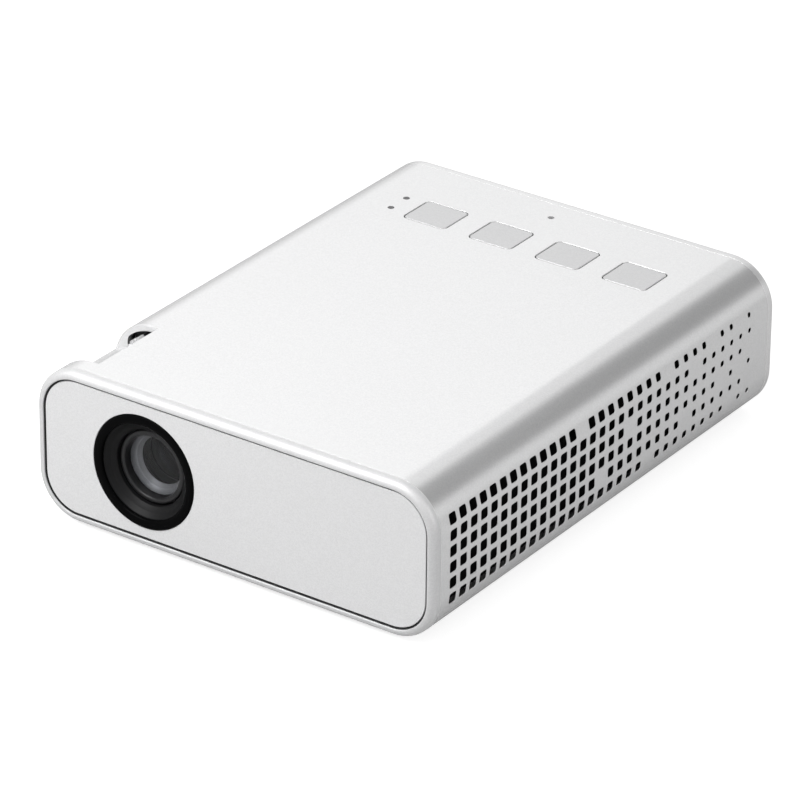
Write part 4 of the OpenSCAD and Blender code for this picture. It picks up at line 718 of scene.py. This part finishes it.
def build_shell():
    y0, y1 = FRONT_Y + RIM_D, REAR_Y - REAR_RIM_D
    pitch_rows = [FRONT_Y + VENT_FIRST + (k - 0.5) * VENT_PITCH for k in range(VENT_COLS + 2)]
    ys = [y for y in pitch_rows if y0 + 0.6 < y < y1 - 0.6]
    arc_n = 18
    stations = []
    for start in (S_ARC1, S_ARC2, S_ARC3, S_ARC4):
        stations += [start + ARC * k / arc_n for k in range(arc_n + 1)]
    stations += [S_SIDE1 + SIDE * k / 4 for k in (1, 2, 3)] + [S_SIDE2 + SIDE * k / 4 for k in (1, 2, 3)]
    diag = 0.7071
    outline = [(0.0, y1, -diag, diag)] + [(0.0, y, -1, 0) for y in ys[::-1]] + [(0.0, y0, -diag, -diag)]
    outline += [(s, y0, 0, -1) for s in sorted(stations)] + [(S_END, y0, diag, -diag)]
    outline += [(S_END, y, 1, 0) for y in ys] + [(S_END, y1, diag, diag)]
    outline += [(s, y1, 0, 1) for s in sorted(stations, reverse=True)]
    holes, walls, bevels = [], [SHELL_T], [0.02]
    for right in (True, False):
        for col in range(VENT_COLS):
            for row in range(VENT_ROWS):
                if (col, row) in BLANK or (not right and (col < LEFT_FROM or row in (0, VENT_ROWS - 1))):
                    continue
                y = FRONT_Y + VENT_FIRST + col * VENT_PITCH
                z = VENT_Z + ((VENT_ROWS - 1) / 2 - row) * VENT_PITCH
                holes.append(vent_hole(right, y, z, vent_side(col)))
                walls.append(VENT_T)
                bevels.append(VENT_BEVEL)
    top_s = S_TOP + FLAT_X
    for x in KEY_XS:
        half_w, half_d = KEY_W / 2 + KEY_GAP, KEY_D / 2 + KEY_GAP
        holes.append(split_long(rr(top_s + x, KEY_Y, half_w, half_d, KEY_R + KEY_GAP, 5), 3))
        walls.append(SHELL_T)
        bevels.append(0.12)
    for x, y, r in [(LIGHT_X, y, LIGHT_R) for y in LIGHT_YS] + [(PIN_X, PIN_Y, PIN_R)]:
        holes.append(circle(top_s + x, y, r, 6))
        walls.append(SHELL_T)
        bevels.append(0.06)
    holes.append(scoop_loop())
    walls.append(0)
    bevels.append(0)
    # Points between the cuts keep the skin's triangles short
    extra = [(s, y) for s in stations for y in ys]
    clear = [y for y in ys[::2] if abs(y - KEY_Y) > 5.5 and y < PIN_Y - 2]
    extra += [(S_TOP + TOP * k / 12, y) for k in range(1, 12) for y in clear]
    shell = sheet("upper_shell_skin", outline, holes, shell_place, shell_normal, walls, bevels, 2, extra)
    dress(shell, "shell", "casing", "upper_shell")


build_shell()
build_scoop()


# ---- Front: rim, joint, panel and lens ----
def build_front():
    radius, n = 1.32, 9
    edge = [(radius * (1 - SIN(PI / 2 * k / n)), radius * (1 - COS(PI / 2 * k / n))) for k in range(n, -1, -1)]
    rim = sweep_rr("front_rim", [(0.0, 1.99)] + edge + [
        (1.42, 0.02), (1.47, 0.07), (1.49, 0.15), (1.49, 1.6), (2.95, 1.6), (2.95, 4.5), (1.55, 4.5), (1.55, 2.0),
        (0.01, 2.0)], sharp=40)
    dress(rim, "rim", "casing", "front_bezel")
    joint = sweep_rr("front_joint", [
        (1.5, 0.26), (1.53, 0.22), (1.66, 0.22), (1.7, 0.26), (1.7, 1.5), (2.9, 1.54), (2.9, 1.59), (1.5, 1.59)])
    dress(joint, "gasket", "casing", "bezel_gasket")
    gap = 1.84
    outline = split_long(rr(0, MID_Z, BODY_W / 2 - gap, BODY_H / 2 - gap, CORNER_R - gap, 14), 6)
    hole = circle(LENS_X, LENS_Z, 10.72, 24)
    panel_y = FRONT_Y + 0.28

    def place(u, v, t):
        return (u, panel_y + t, v)

    panel = sheet("front_plate", outline, [hole], place, lambda u, v: (0, -1, 0), [1.2, 1.2], [0.16, 0.1], 3)
    dress(panel, "panel", "casing", "front_panel")
    ring = lathe("lens_trim", LENS_X, LENS_Z, [
        (8.95, 0.75), (8.95, 0.42), (9.0, 0.28), (9.12, 0.15), (9.3, 0.07), (9.55, 0.05), (10.2, 0.05), (10.45, 0.09),
        (10.6, 0.18), (10.68, 0.3), (10.7, 0.45), (10.7, 0.75)], 128, sharp=40)
    dress(ring, "gloss_black", "casing", "lens_trim_ring")
    hood = lathe("lens_hood_cone", LENS_X, LENS_Z, [
        (8.95, 0.76), (8.82, 0.8), (8.76, 0.9), (8.0, 1.47), (7.98, 1.5), (7.9, 1.55), (7.2, 2.1), (7.12, 2.2),
        (7.1, 2.3), (7.1, 3.5), (7.16, 3.6), (8.1, 3.6), (8.1, 2.4), (11.15, 2.4), (11.15, 1.46), (10.7, 1.45),
        (10.7, 0.76)], 128, sharp=24)
    dress(hood, "hood_black", "casing", "lens_hood")
    barrel = lathe("lens_tube", LENS_X, LENS_Z, [
        (5.95, 2.72), (6.03, 2.62), (6.12, 2.6), (6.5, 2.6), (6.66, 2.66), (6.76, 2.76), (6.8, 2.9), (6.8, 27.0),
        (4.7, 27.0), (4.7, 8.6), (5.95, 8.55)], 96, sharp=28)
    dress(barrel, "barrel_black", "lens", "lens_barrel")
    keeper = lathe("lens_keeper", LENS_X, LENS_Z, [
        (5.94, 2.7), (5.94, 4.0), (5.6, 4.0), (5.6, 3.85), (5.66, 3.6), (5.8, 2.78), (5.84, 2.71)], 96)
    dress(keeper, "barrel_black", "lens", "lens_retainer")
    stop = lathe("lens_stop_ring", LENS_X, LENS_Z, [
        (5.9, 4.52), (5.76, 4.5), (5.7, 4.54), (5.64, 4.62), (4.94, 5.28), (4.88, 5.3), (4.84, 5.36), (4.34, 5.96),
        (4.28, 6.06), (4.34, 6.16), (5.3, 6.2), (5.9, 6.2)], 96, sharp=20)
    dress(stop, "stop_grey", "lens", "lens_barrel")
    # The front lens bulges forwards, and its rear face is nearly flat
    front_d, front_r, rear_d, rear_r, n = 3.1, 17, 4.14, 60, 12
    front = [(0.0, front_d)]
    for k in range(1, n + 1):
        r = 5.9 * k / n
        front.append((r, front_d + front_r - math.sqrt(front_r ** 2 - r * r)))
    front.append((5.94, front[-1][1] + 0.1))
    front += [(5.94, 4.4), (5.9, 4.44)]
    for k in range(n, -1, -1):
        r = 5.85 * k / n
        front.append((r, rear_d + rear_r - math.sqrt(rear_r ** 2 - r * r)))
    glass = lathe("lens_front_element", LENS_X, LENS_Z, front, 96, closed=False, sharp=30)
    dress(glass, "coated", "lens", "front_lens")


build_front()


# ---- Keys and focus wheel ----
def build_keys():
    flange, n = 0.45, 6
    grid = [(KEY_W * (k / n - 0.5), KEY_D * (j / n - 0.5)) for k in range(1, n) for j in range(1, n)]
    outline = split_long(rr(0, 0, KEY_W / 2, KEY_D / 2, KEY_R, 5), 1.5)
    for i, x in enumerate(KEY_XS):
        def place(u, v, t, x=x):
            return (x + u, KEY_Y + v, TOP_Z - t)

        name = "key_%d" % (i + 1)
        cap = sheet(name + "_cap", outline, [], place, lambda u, v: (0, 0, 1), [1.75], [0.16], 3, grid)
        dress(cap, "keys", name, name)
        half_w, half_d = KEY_W / 2 + flange, KEY_D / 2 + flange
        foot = blocks(name + "_flange", [
            ((x - half_w, KEY_Y - half_d, TOP_Z - 2.38), (x + half_w, KEY_Y + half_d, TOP_Z - 1.81))], 0.12)
        dress(foot, "keys", name, name)


def build_wheel():
    """The thumb wheel: a silver face and a rubber rim with bevelled teeth, both with a bore."""
    teeth, tip, root = 20, 5.42, 4.45
    step = 2 * PI / teeth
    # One tooth, as (part of the angle between teeth, radius)
    tooth = ((-0.5084, root), (-0.372, root + 0.3), (-0.2108, tip - 0.06), (-0.1116, tip), (0.1116, tip),
             (0.2108, tip - 0.06), (0.372, root + 0.3), (0.5084, root))
    loop = [(r, step * (k + 0.5 + part)) for k in range(teeth) for part, r in tooth]

    def turn(name, key, levels):
        """A toothed piece from (inset, radius, depth) levels. A level with no inset is round."""
        bm = bmesh.new()
        rings = []
        for inset, radius, d in levels:
            points = [(radius if inset is None else r - inset, a) for r, a in loop]
            rings.append([bm.verts.new((WHEEL_X + r * COS(a), FRONT_Y + WHEEL_D0 + d, WHEEL_Z + r * SIN(a)))
                          for r, a in points])
        join_rings(bm, rings)
        dress(finish_mesh(name, bm, 30), key, "focus_wheel", "focus_wheel")

    turn("thumb_wheel_face", "wheel_face", [
        (0.03, 0, 1.5), (0.03, 0, 0.1), (0.12, 0, 0.0), (None, 2.9, 0.0), (None, 2.8, 0.1), (None, 0.86, 0.1),
        (None, 0.86, 1.5)])
    turn("thumb_wheel", "wheel_rubber", [
        (0.1, 0, 1.51), (0.03, 0, 1.54), (0.0, 0, 1.62), (0.0, 0, 3.82), (0.05, 0, 3.95), (0.18, 0, 4.0),
        (None, 0.85, 4.0), (None, 0.85, 1.51)])


build_keys()
build_wheel()


# ---- Rear panel and sockets ----
PANEL_Y, SOCKET_Y, BOARD_TOP = 52.2, 52.0, 16.1
VIDEO_X, DATA_X, CHARGE_X, AUDIO_X, SWITCH_X = -24.0, 9.0, -9.5, 21.5, 30.0
VIDEO_Z, DATA_Z, CHARGE_Z, AUDIO_Z, SWITCH_Z = 18.9, 19.0, 17.7, 18.8, 18.2
REAR_SCREWS = [(-33.0, 26.2), (33.0, 26.2)]


def rear_place(y):
    """Places a sheet that faces the rear: u runs to the left as drawn, so that loops stay anticlockwise."""
    return lambda u, v, t: (-u, y - t, v)


def rear_normal(_u, _v):
    return (0, 1, 0)


def build_rear():
    rim = sweep_rr("rear_rim", [
        (0.02, 104.2), (0.0, 104.22), (0.0, 105.45), (0.04, 105.66), (0.14, 105.84), (0.3, 105.96), (0.5, 106.0),
        (1.24, 106.0), (1.4, 105.95), (1.48, 105.85), (1.5, 105.72), (1.5, 105.1), (2.95, 105.1), (2.95, 102.2),
        (1.55, 102.2), (1.55, 104.2)])
    dress(rim, "rear_rim", "casing", "rear_panel")
    inset = 1.5
    outline = split_long(rr(0, MID_Z, BODY_W / 2 - inset, BODY_H / 2 - inset, CORNER_R - inset, 12), 6)
    holes = [
        rr(-VIDEO_X, VIDEO_Z, 7.7, 3.0, 0.5, 4), rr(-DATA_X, DATA_Z, 6.8, 3.1, 0.5, 4),
        rr(-CHARGE_X, CHARGE_Z, 4.67, 1.8, 1.79, 10), circle(-AUDIO_X, AUDIO_Z, 2.8, 12),
        rr(-SWITCH_X, SWITCH_Z, 2.8, 1.3, 0.4, 4)]
    holes += [circle(-x, z, SCREW_R, 9) for x, z in REAR_SCREWS]
    plate = sheet("rear_plate", outline, holes, rear_place(PANEL_Y), rear_normal, [1.9] + [2.0] * 5 + [0.9] * 2,
                  [0.03] + [0.16] * 5 + [0.1] * 2)
    dress(plate, "rear", "casing", "rear_panel")


def socket_shell(name, node, outline, hole, length, bore):
    """A folded metal socket shell that faces the rear, with a closed end."""
    shell = sheet(name, outline, [hole], rear_place(SOCKET_Y), rear_normal, [length, bore], [0.14, 0.12], 2)
    dress(shell, "nickel", "casing", node)
    us, vs = [p[0] for p in outline], [p[1] for p in outline]
    lo = (0.1 - max(us), SOCKET_Y - length, min(vs) + 0.1)
    hi = (-min(us) - 0.1, SOCKET_Y - bore, max(vs) - 0.1)
    dress(blocks(name + "_end", [(lo, hi)], 0.05), "nickel", "casing", node)


def tongue(name, node, x, half_w, z0, z1, y0, y1, rows, w):
    """The insulating tongue in a socket and its gold contacts: rows holds (z of the face, count, pitch, way)."""
    dress(blocks(name, [((x - half_w, y0, z0), (x + half_w, y1, z1))], 0.12), "black_plastic", "casing", node)
    pins = []
    for z, count, pitch, way in rows:
        z_lo, z_hi = sorted((z, z + way * 0.06))
        for k in range(count):
            px = x + (k - (count - 1) / 2) * pitch
            pins.append(((px - w / 2, y0 + 0.4, z_lo), (px + w / 2, y1 - 0.35, z_hi)))
    dress(blocks(name + "_contacts", pins, 0.02), "gold", "casing", node)


def build_sockets():
    v = BOARD_TOP
    x = -VIDEO_X
    bore = poly_loop([(x - 5.3, v + 0.4), (x + 5.3, v + 0.4), (x + 7.1, v + 1.9), (x + 7.1, v + 5.2),
                      (x - 7.1, v + 5.2), (x - 7.1, v + 1.9)], 0.35)
    socket_shell("video_shell", "video_socket", rr(x, v + 2.8, 7.5, 2.8, 0.5, 3), bore, 10.5, 9.5)
    tongue("video_tongue", "video_socket", VIDEO_X, 5.6, v + 2.9, v + 3.8, SOCKET_Y - 9.5, SOCKET_Y - 1.5,
           [(v + 2.9, 9, 1.0, -1), (v + 3.8, 10, 1.0, 1)], 0.45)
    x = -DATA_X
    socket_shell("data_shell", "data_socket", rr(x, v + 2.9, 6.6, 2.9, 0.5, 3), rr(x, v + 2.9, 6.25, 2.55, 0.4, 3),
                 13.5, 12.5)
    tongue("data_tongue", "data_socket", DATA_X, 5.5, v + 3.2, v + 5.0, SOCKET_Y - 12.5, SOCKET_Y - 1,
           [(v + 3.2, 4, 2.3, -1)], 1.1)
    x, z = -CHARGE_X, CHARGE_Z
    socket_shell("charge_shell", "charge_socket", rr(x, z, 4.47, 1.6, 1.59, 8), rr(x, z, 4.17, 1.28, 1.27, 8),
                 7.5, 6.6)
    tongue("charge_tongue", "charge_socket", CHARGE_X, 3.3, z - 0.35, z + 0.35, SOCKET_Y - 6.6, SOCKET_Y - 0.6,
           [(z - 0.35, 12, 0.5, -1), (z + 0.35, 12, 0.5, 1)], 0.26)
    x, z = AUDIO_X, AUDIO_Z
    body = sheet("headphone_body", rr(-x, v + 2.6, 3.0, 2.6, 0.25, 3), [circle(-x, z, 2.55, 12)], rear_place(50.0),
                 rear_normal, [11.0, 11.0], [0.15, 0.0])
    dress(body, "black_plastic", "casing", "audio_jack")
    sleeve = lathe("headphone_sleeve", x, z, [
        (0.0, 93.0), (1.8, 93.0), (1.8, 104.78), (1.88, 104.93), (2.02, 105.0), (2.42, 105.0), (2.54, 104.95),
        (2.6, 104.82), (2.6, 92.1)], 64, closed=False, sharp=28)
    dress(sleeve, "black_plastic", "casing", "audio_jack")
    spring = blocks("headphone_springs", [
        ((x - 0.35, y, z + 1.62), (x + 0.35, y + 2.0, z + 1.78)) for y in (44.0, 47.5)], 0.05)
    dress(spring, "gold", "casing", "audio_jack")


def build_slider():
    """The power slider: its foot, its stem and a knob with grip ridges."""
    x, knob_y, tip_y = SWITCH_X - 1.0, PANEL_Y - 1.8, REAR_Y - 0.2
    # As (middle, half width, front, rear, half height)
    pieces = [(x, 1.5, PANEL_Y - 4.9, PANEL_Y - 3.15, 0.7), (x, 0.8, PANEL_Y - 3.25, knob_y + 0.1, 0.5),
              (x, 1.5, knob_y, tip_y - 0.35, 1.0)]
    pieces += [(x + k * 0.55, 0.16, tip_y - 0.5, tip_y, 0.95) for k in range(-2, 3)]
    boxes = [((mid - w, y0, SWITCH_Z - h), (mid + w, y1, SWITCH_Z + h)) for mid, w, y0, y1, h in pieces]
    dress(blocks("power_knob", boxes, 0.1), "black_plastic", "power_slider", "power_slider")


build_rear()
build_sockets()
build_slider()


# ---- Underside: cover, feet and tripod thread ----
SCREW_XY = [(sx * 30.0, y) for sx in (-1, 1) for y in (-42.0, 25.0)]
FOOT_XY = [(sx * 26.0, y) for sx in (-1, 1) for y in (-35.0, 35.0)]
FOOT_R = 4.0
INSERT_R, THREAD_CORE, THREAD_DEPTH, THREAD_PITCH, INSERT_LEN = 4.2, 2.55, 0.55, 1.27, 6.0


def build_base():
    outline = split_long(rr(0, 0, 45.0, 32.65, 2.85, 6), 8)
    holes = [circle(0, 0, INSERT_R, 16)] + [circle(y, x, FOOT_R, 16) for x, y in FOOT_XY]
    holes += [circle(y, x, SCREW_R, 9) for x, y in SCREW_XY]
    cover = sheet("base_cover", outline, holes, lambda u, v, t: (v, u, BASE_Z + t), lambda u, v: (0, 0, -1),
                  [1.5, 1.4] + [0.6] * 4 + [0.8] * 4, [0.12, 0.1] + [0.1] * 8)
    dress(cover, "cover", "casing", "bottom_cover")
    inside = blocks("base_cover_inside", [((-32.4, -44.8, 2.0), (32.4, 44.8, 2.1))], 0.02)
    dress(inside, "cover", "casing", "bottom_cover")
    for i, (x, y) in enumerate(FOOT_XY):
        foot = lathe("rubber_foot_%d" % (i + 1), x, y, [
            (0, 0.1), (1.1, 0.1), (1.25, 0.0), (1.75, 0.0), (1.9, 0.1), (2.3, 0.1), (2.45, 0.0), (3.45, 0.0),
            (3.75, 0.06), (3.92, 0.2), (3.98, 0.4), (3.98, 1.2), (0, 1.2)], 64, closed=False, upright=True)
        dress(foot, "rubber", "casing", "rubber_feet")


def build_thread():
    """The brass insert, with a real helical thread and a widened mouth."""
    bm = bmesh.new()
    n, rows, edge = 48, 44, 0.12

    def ring(radii, z):
        return [bm.verts.new((r * COS(2 * PI * i / n), r * SIN(2 * PI * i / n), BASE_Z + z))
                for i, r in enumerate(radii)]

    rings = []
    for k in range(rows + 1):
        z = INSERT_LEN * k / rows
        mouth = max(0.0, 0.75 - z) * 0.9
        radii = []
        for i in range(n):
            turn = (z / THREAD_PITCH + i / n) % 1.0
            wave = max(0.0, min(1.0, (abs(turn - 0.5) * 2 - 0.12) / 0.76))
            radii.append(min(INSERT_R - 0.6, THREAD_CORE + max(THREAD_DEPTH * wave, mouth)))
        rings.append(ring(radii, z))
    for r, z in ((INSERT_R, INSERT_LEN), (INSERT_R, edge), (INSERT_R - edge, 0.0)):
        rings.append(ring([r] * n, z))
    join_rings(bm, rings)
    dress(finish_mesh("tripod_thread", bm, 50), "brass", "casing", "tripod_insert")


build_base()
build_thread()


# ---- Camera, light and floor ----
# The camera was fitted to the photo: place in metres, and angles in degrees
CAMERA_AT = (0.46043, -0.66723, 0.43284)
AZIMUTH, ELEVATION, ROLL = 34.7485, 27.4142, 0.597
FOCAL, SENSOR = 234.368, 36
# Lamps as (name, place, target, width, height, watts)
LAMPS = [
    ("key_light", (-0.10, -0.21, 0.27), (0, -0.02, 0.02), 0.22, 0.22, 0.84),
    ("right_light", (0.80, 0.10, 0.30), (0.02, 0, 0.01), 0.35, 0.45, 1.15),
    ("left_light", (-0.75, 0.76, 0.58), (0, 0, 0.02), 0.7, 0.6, 0.42),
]
# The surroundings are dark this way, which the rounding between the top and the right side mirrors to the camera
DARK_WAY = Vector((0.366, 0.729, 0.578)).normalized()


def seen_share(nt, straight, mirrored):
    """How much white a background adds for rays that see it: straight or through glass, and in a reflection."""
    rays = nt.nodes.new("ShaderNodeLightPath").outputs
    direct = calc(nt, "MAXIMUM", rays["Is Camera Ray"], rays["Is Transmission Ray"])
    mirror = calc(nt, "MULTIPLY", rays["Is Glossy Ray"], mirrored)
    return calc(nt, "MAXIMUM", calc(nt, "MULTIPLY", direct, straight), mirror)


def build_camera():
    az, el, roll = (math.radians(a) for a in (AZIMUTH, ELEVATION, ROLL))
    back = Vector((SIN(az) * COS(el), -COS(az) * COS(el), SIN(el)))
    level = Vector((COS(az), SIN(az), 0))
    upright = back.cross(level)
    right, up = level * COS(roll) + upright * SIN(roll), upright * COS(roll) - level * SIN(roll)
    cam = bpy.data.cameras.new("camera")
    cam.lens = FOCAL
    cam.sensor_width = SENSOR
    cam.clip_start, cam.clip_end = 0.01, 20
    cam_o = link("camera", cam)
    cam_o.matrix_world = Matrix.Translation(CAMERA_AT) @ Matrix((right, up, back)).transposed().to_4x4()
    bpy.context.scene.camera = cam_o


def build_lamps():
    for name, at, target, size, size_y, watts in LAMPS:
        d = bpy.data.lights.new(name, "AREA")
        d.shape = "RECTANGLE"
        d.size, d.size_y = size, size_y
        d.energy = watts
        o = link(name, d)
        o.location = at
        o.rotation_euler = (Vector(target) - Vector(at)).to_track_quat("-Z", "Y").to_euler()


def build_floor():
    floor_m, nt, bsdf, co = new_material("floor_white")
    fill(nt, bsdf, {
        "Base Color": ramp(nt, noise(nt, co, 1.5, 1.0), [(0.4, (0.49,) * 3), (0.6, (0.51,) * 3)]),
        "Roughness": 0.9, "Specular IOR Level": 0.1, "Emission Color": (1, 1, 1, 1),
        "Emission Strength": seen_share(nt, 0.75, 0.05)})
    bm = bmesh.new()
    bmesh.ops.create_grid(bm, x_segments=8, y_segments=8, size=3.0)
    m = bpy.data.meshes.new("floor")
    bm.to_mesh(m)
    bm.free()
    m.materials.append(floor_m)
    floor = link("floor", m)
    floor.location = (0, 0, -0.0002)


def build_world():
    world = bpy.data.worlds.new("studio")
    world.use_nodes = True
    bpy.context.scene.world = world
    nt = world.node_tree
    way = nt.nodes.new("ShaderNodeTexCoord").outputs["Generated"]
    along = add(nt, "ShaderNodeVectorMath", {0: way, 1: DARK_WAY}, operation="DOT_PRODUCT").outputs["Value"]
    near = rescale(nt, along, {1: 0.90, 2: 0.985}, interpolation_type="SMOOTHSTEP")
    tone = ramp(nt, near, [(0.0, (0.66,) * 3), (1.0, (0.02,) * 3)])
    seen = mix_colour(nt, seen_share(nt, 1.0, 0.0), tone, (1, 1, 1, 1))
    fill(nt, nt.nodes["Background"], {"Color": seen, "Strength": 1.0})


build_camera()
build_lamps()
build_floor()
build_world()
bpy.context.scene.view_settings.view_transform = "Standard"
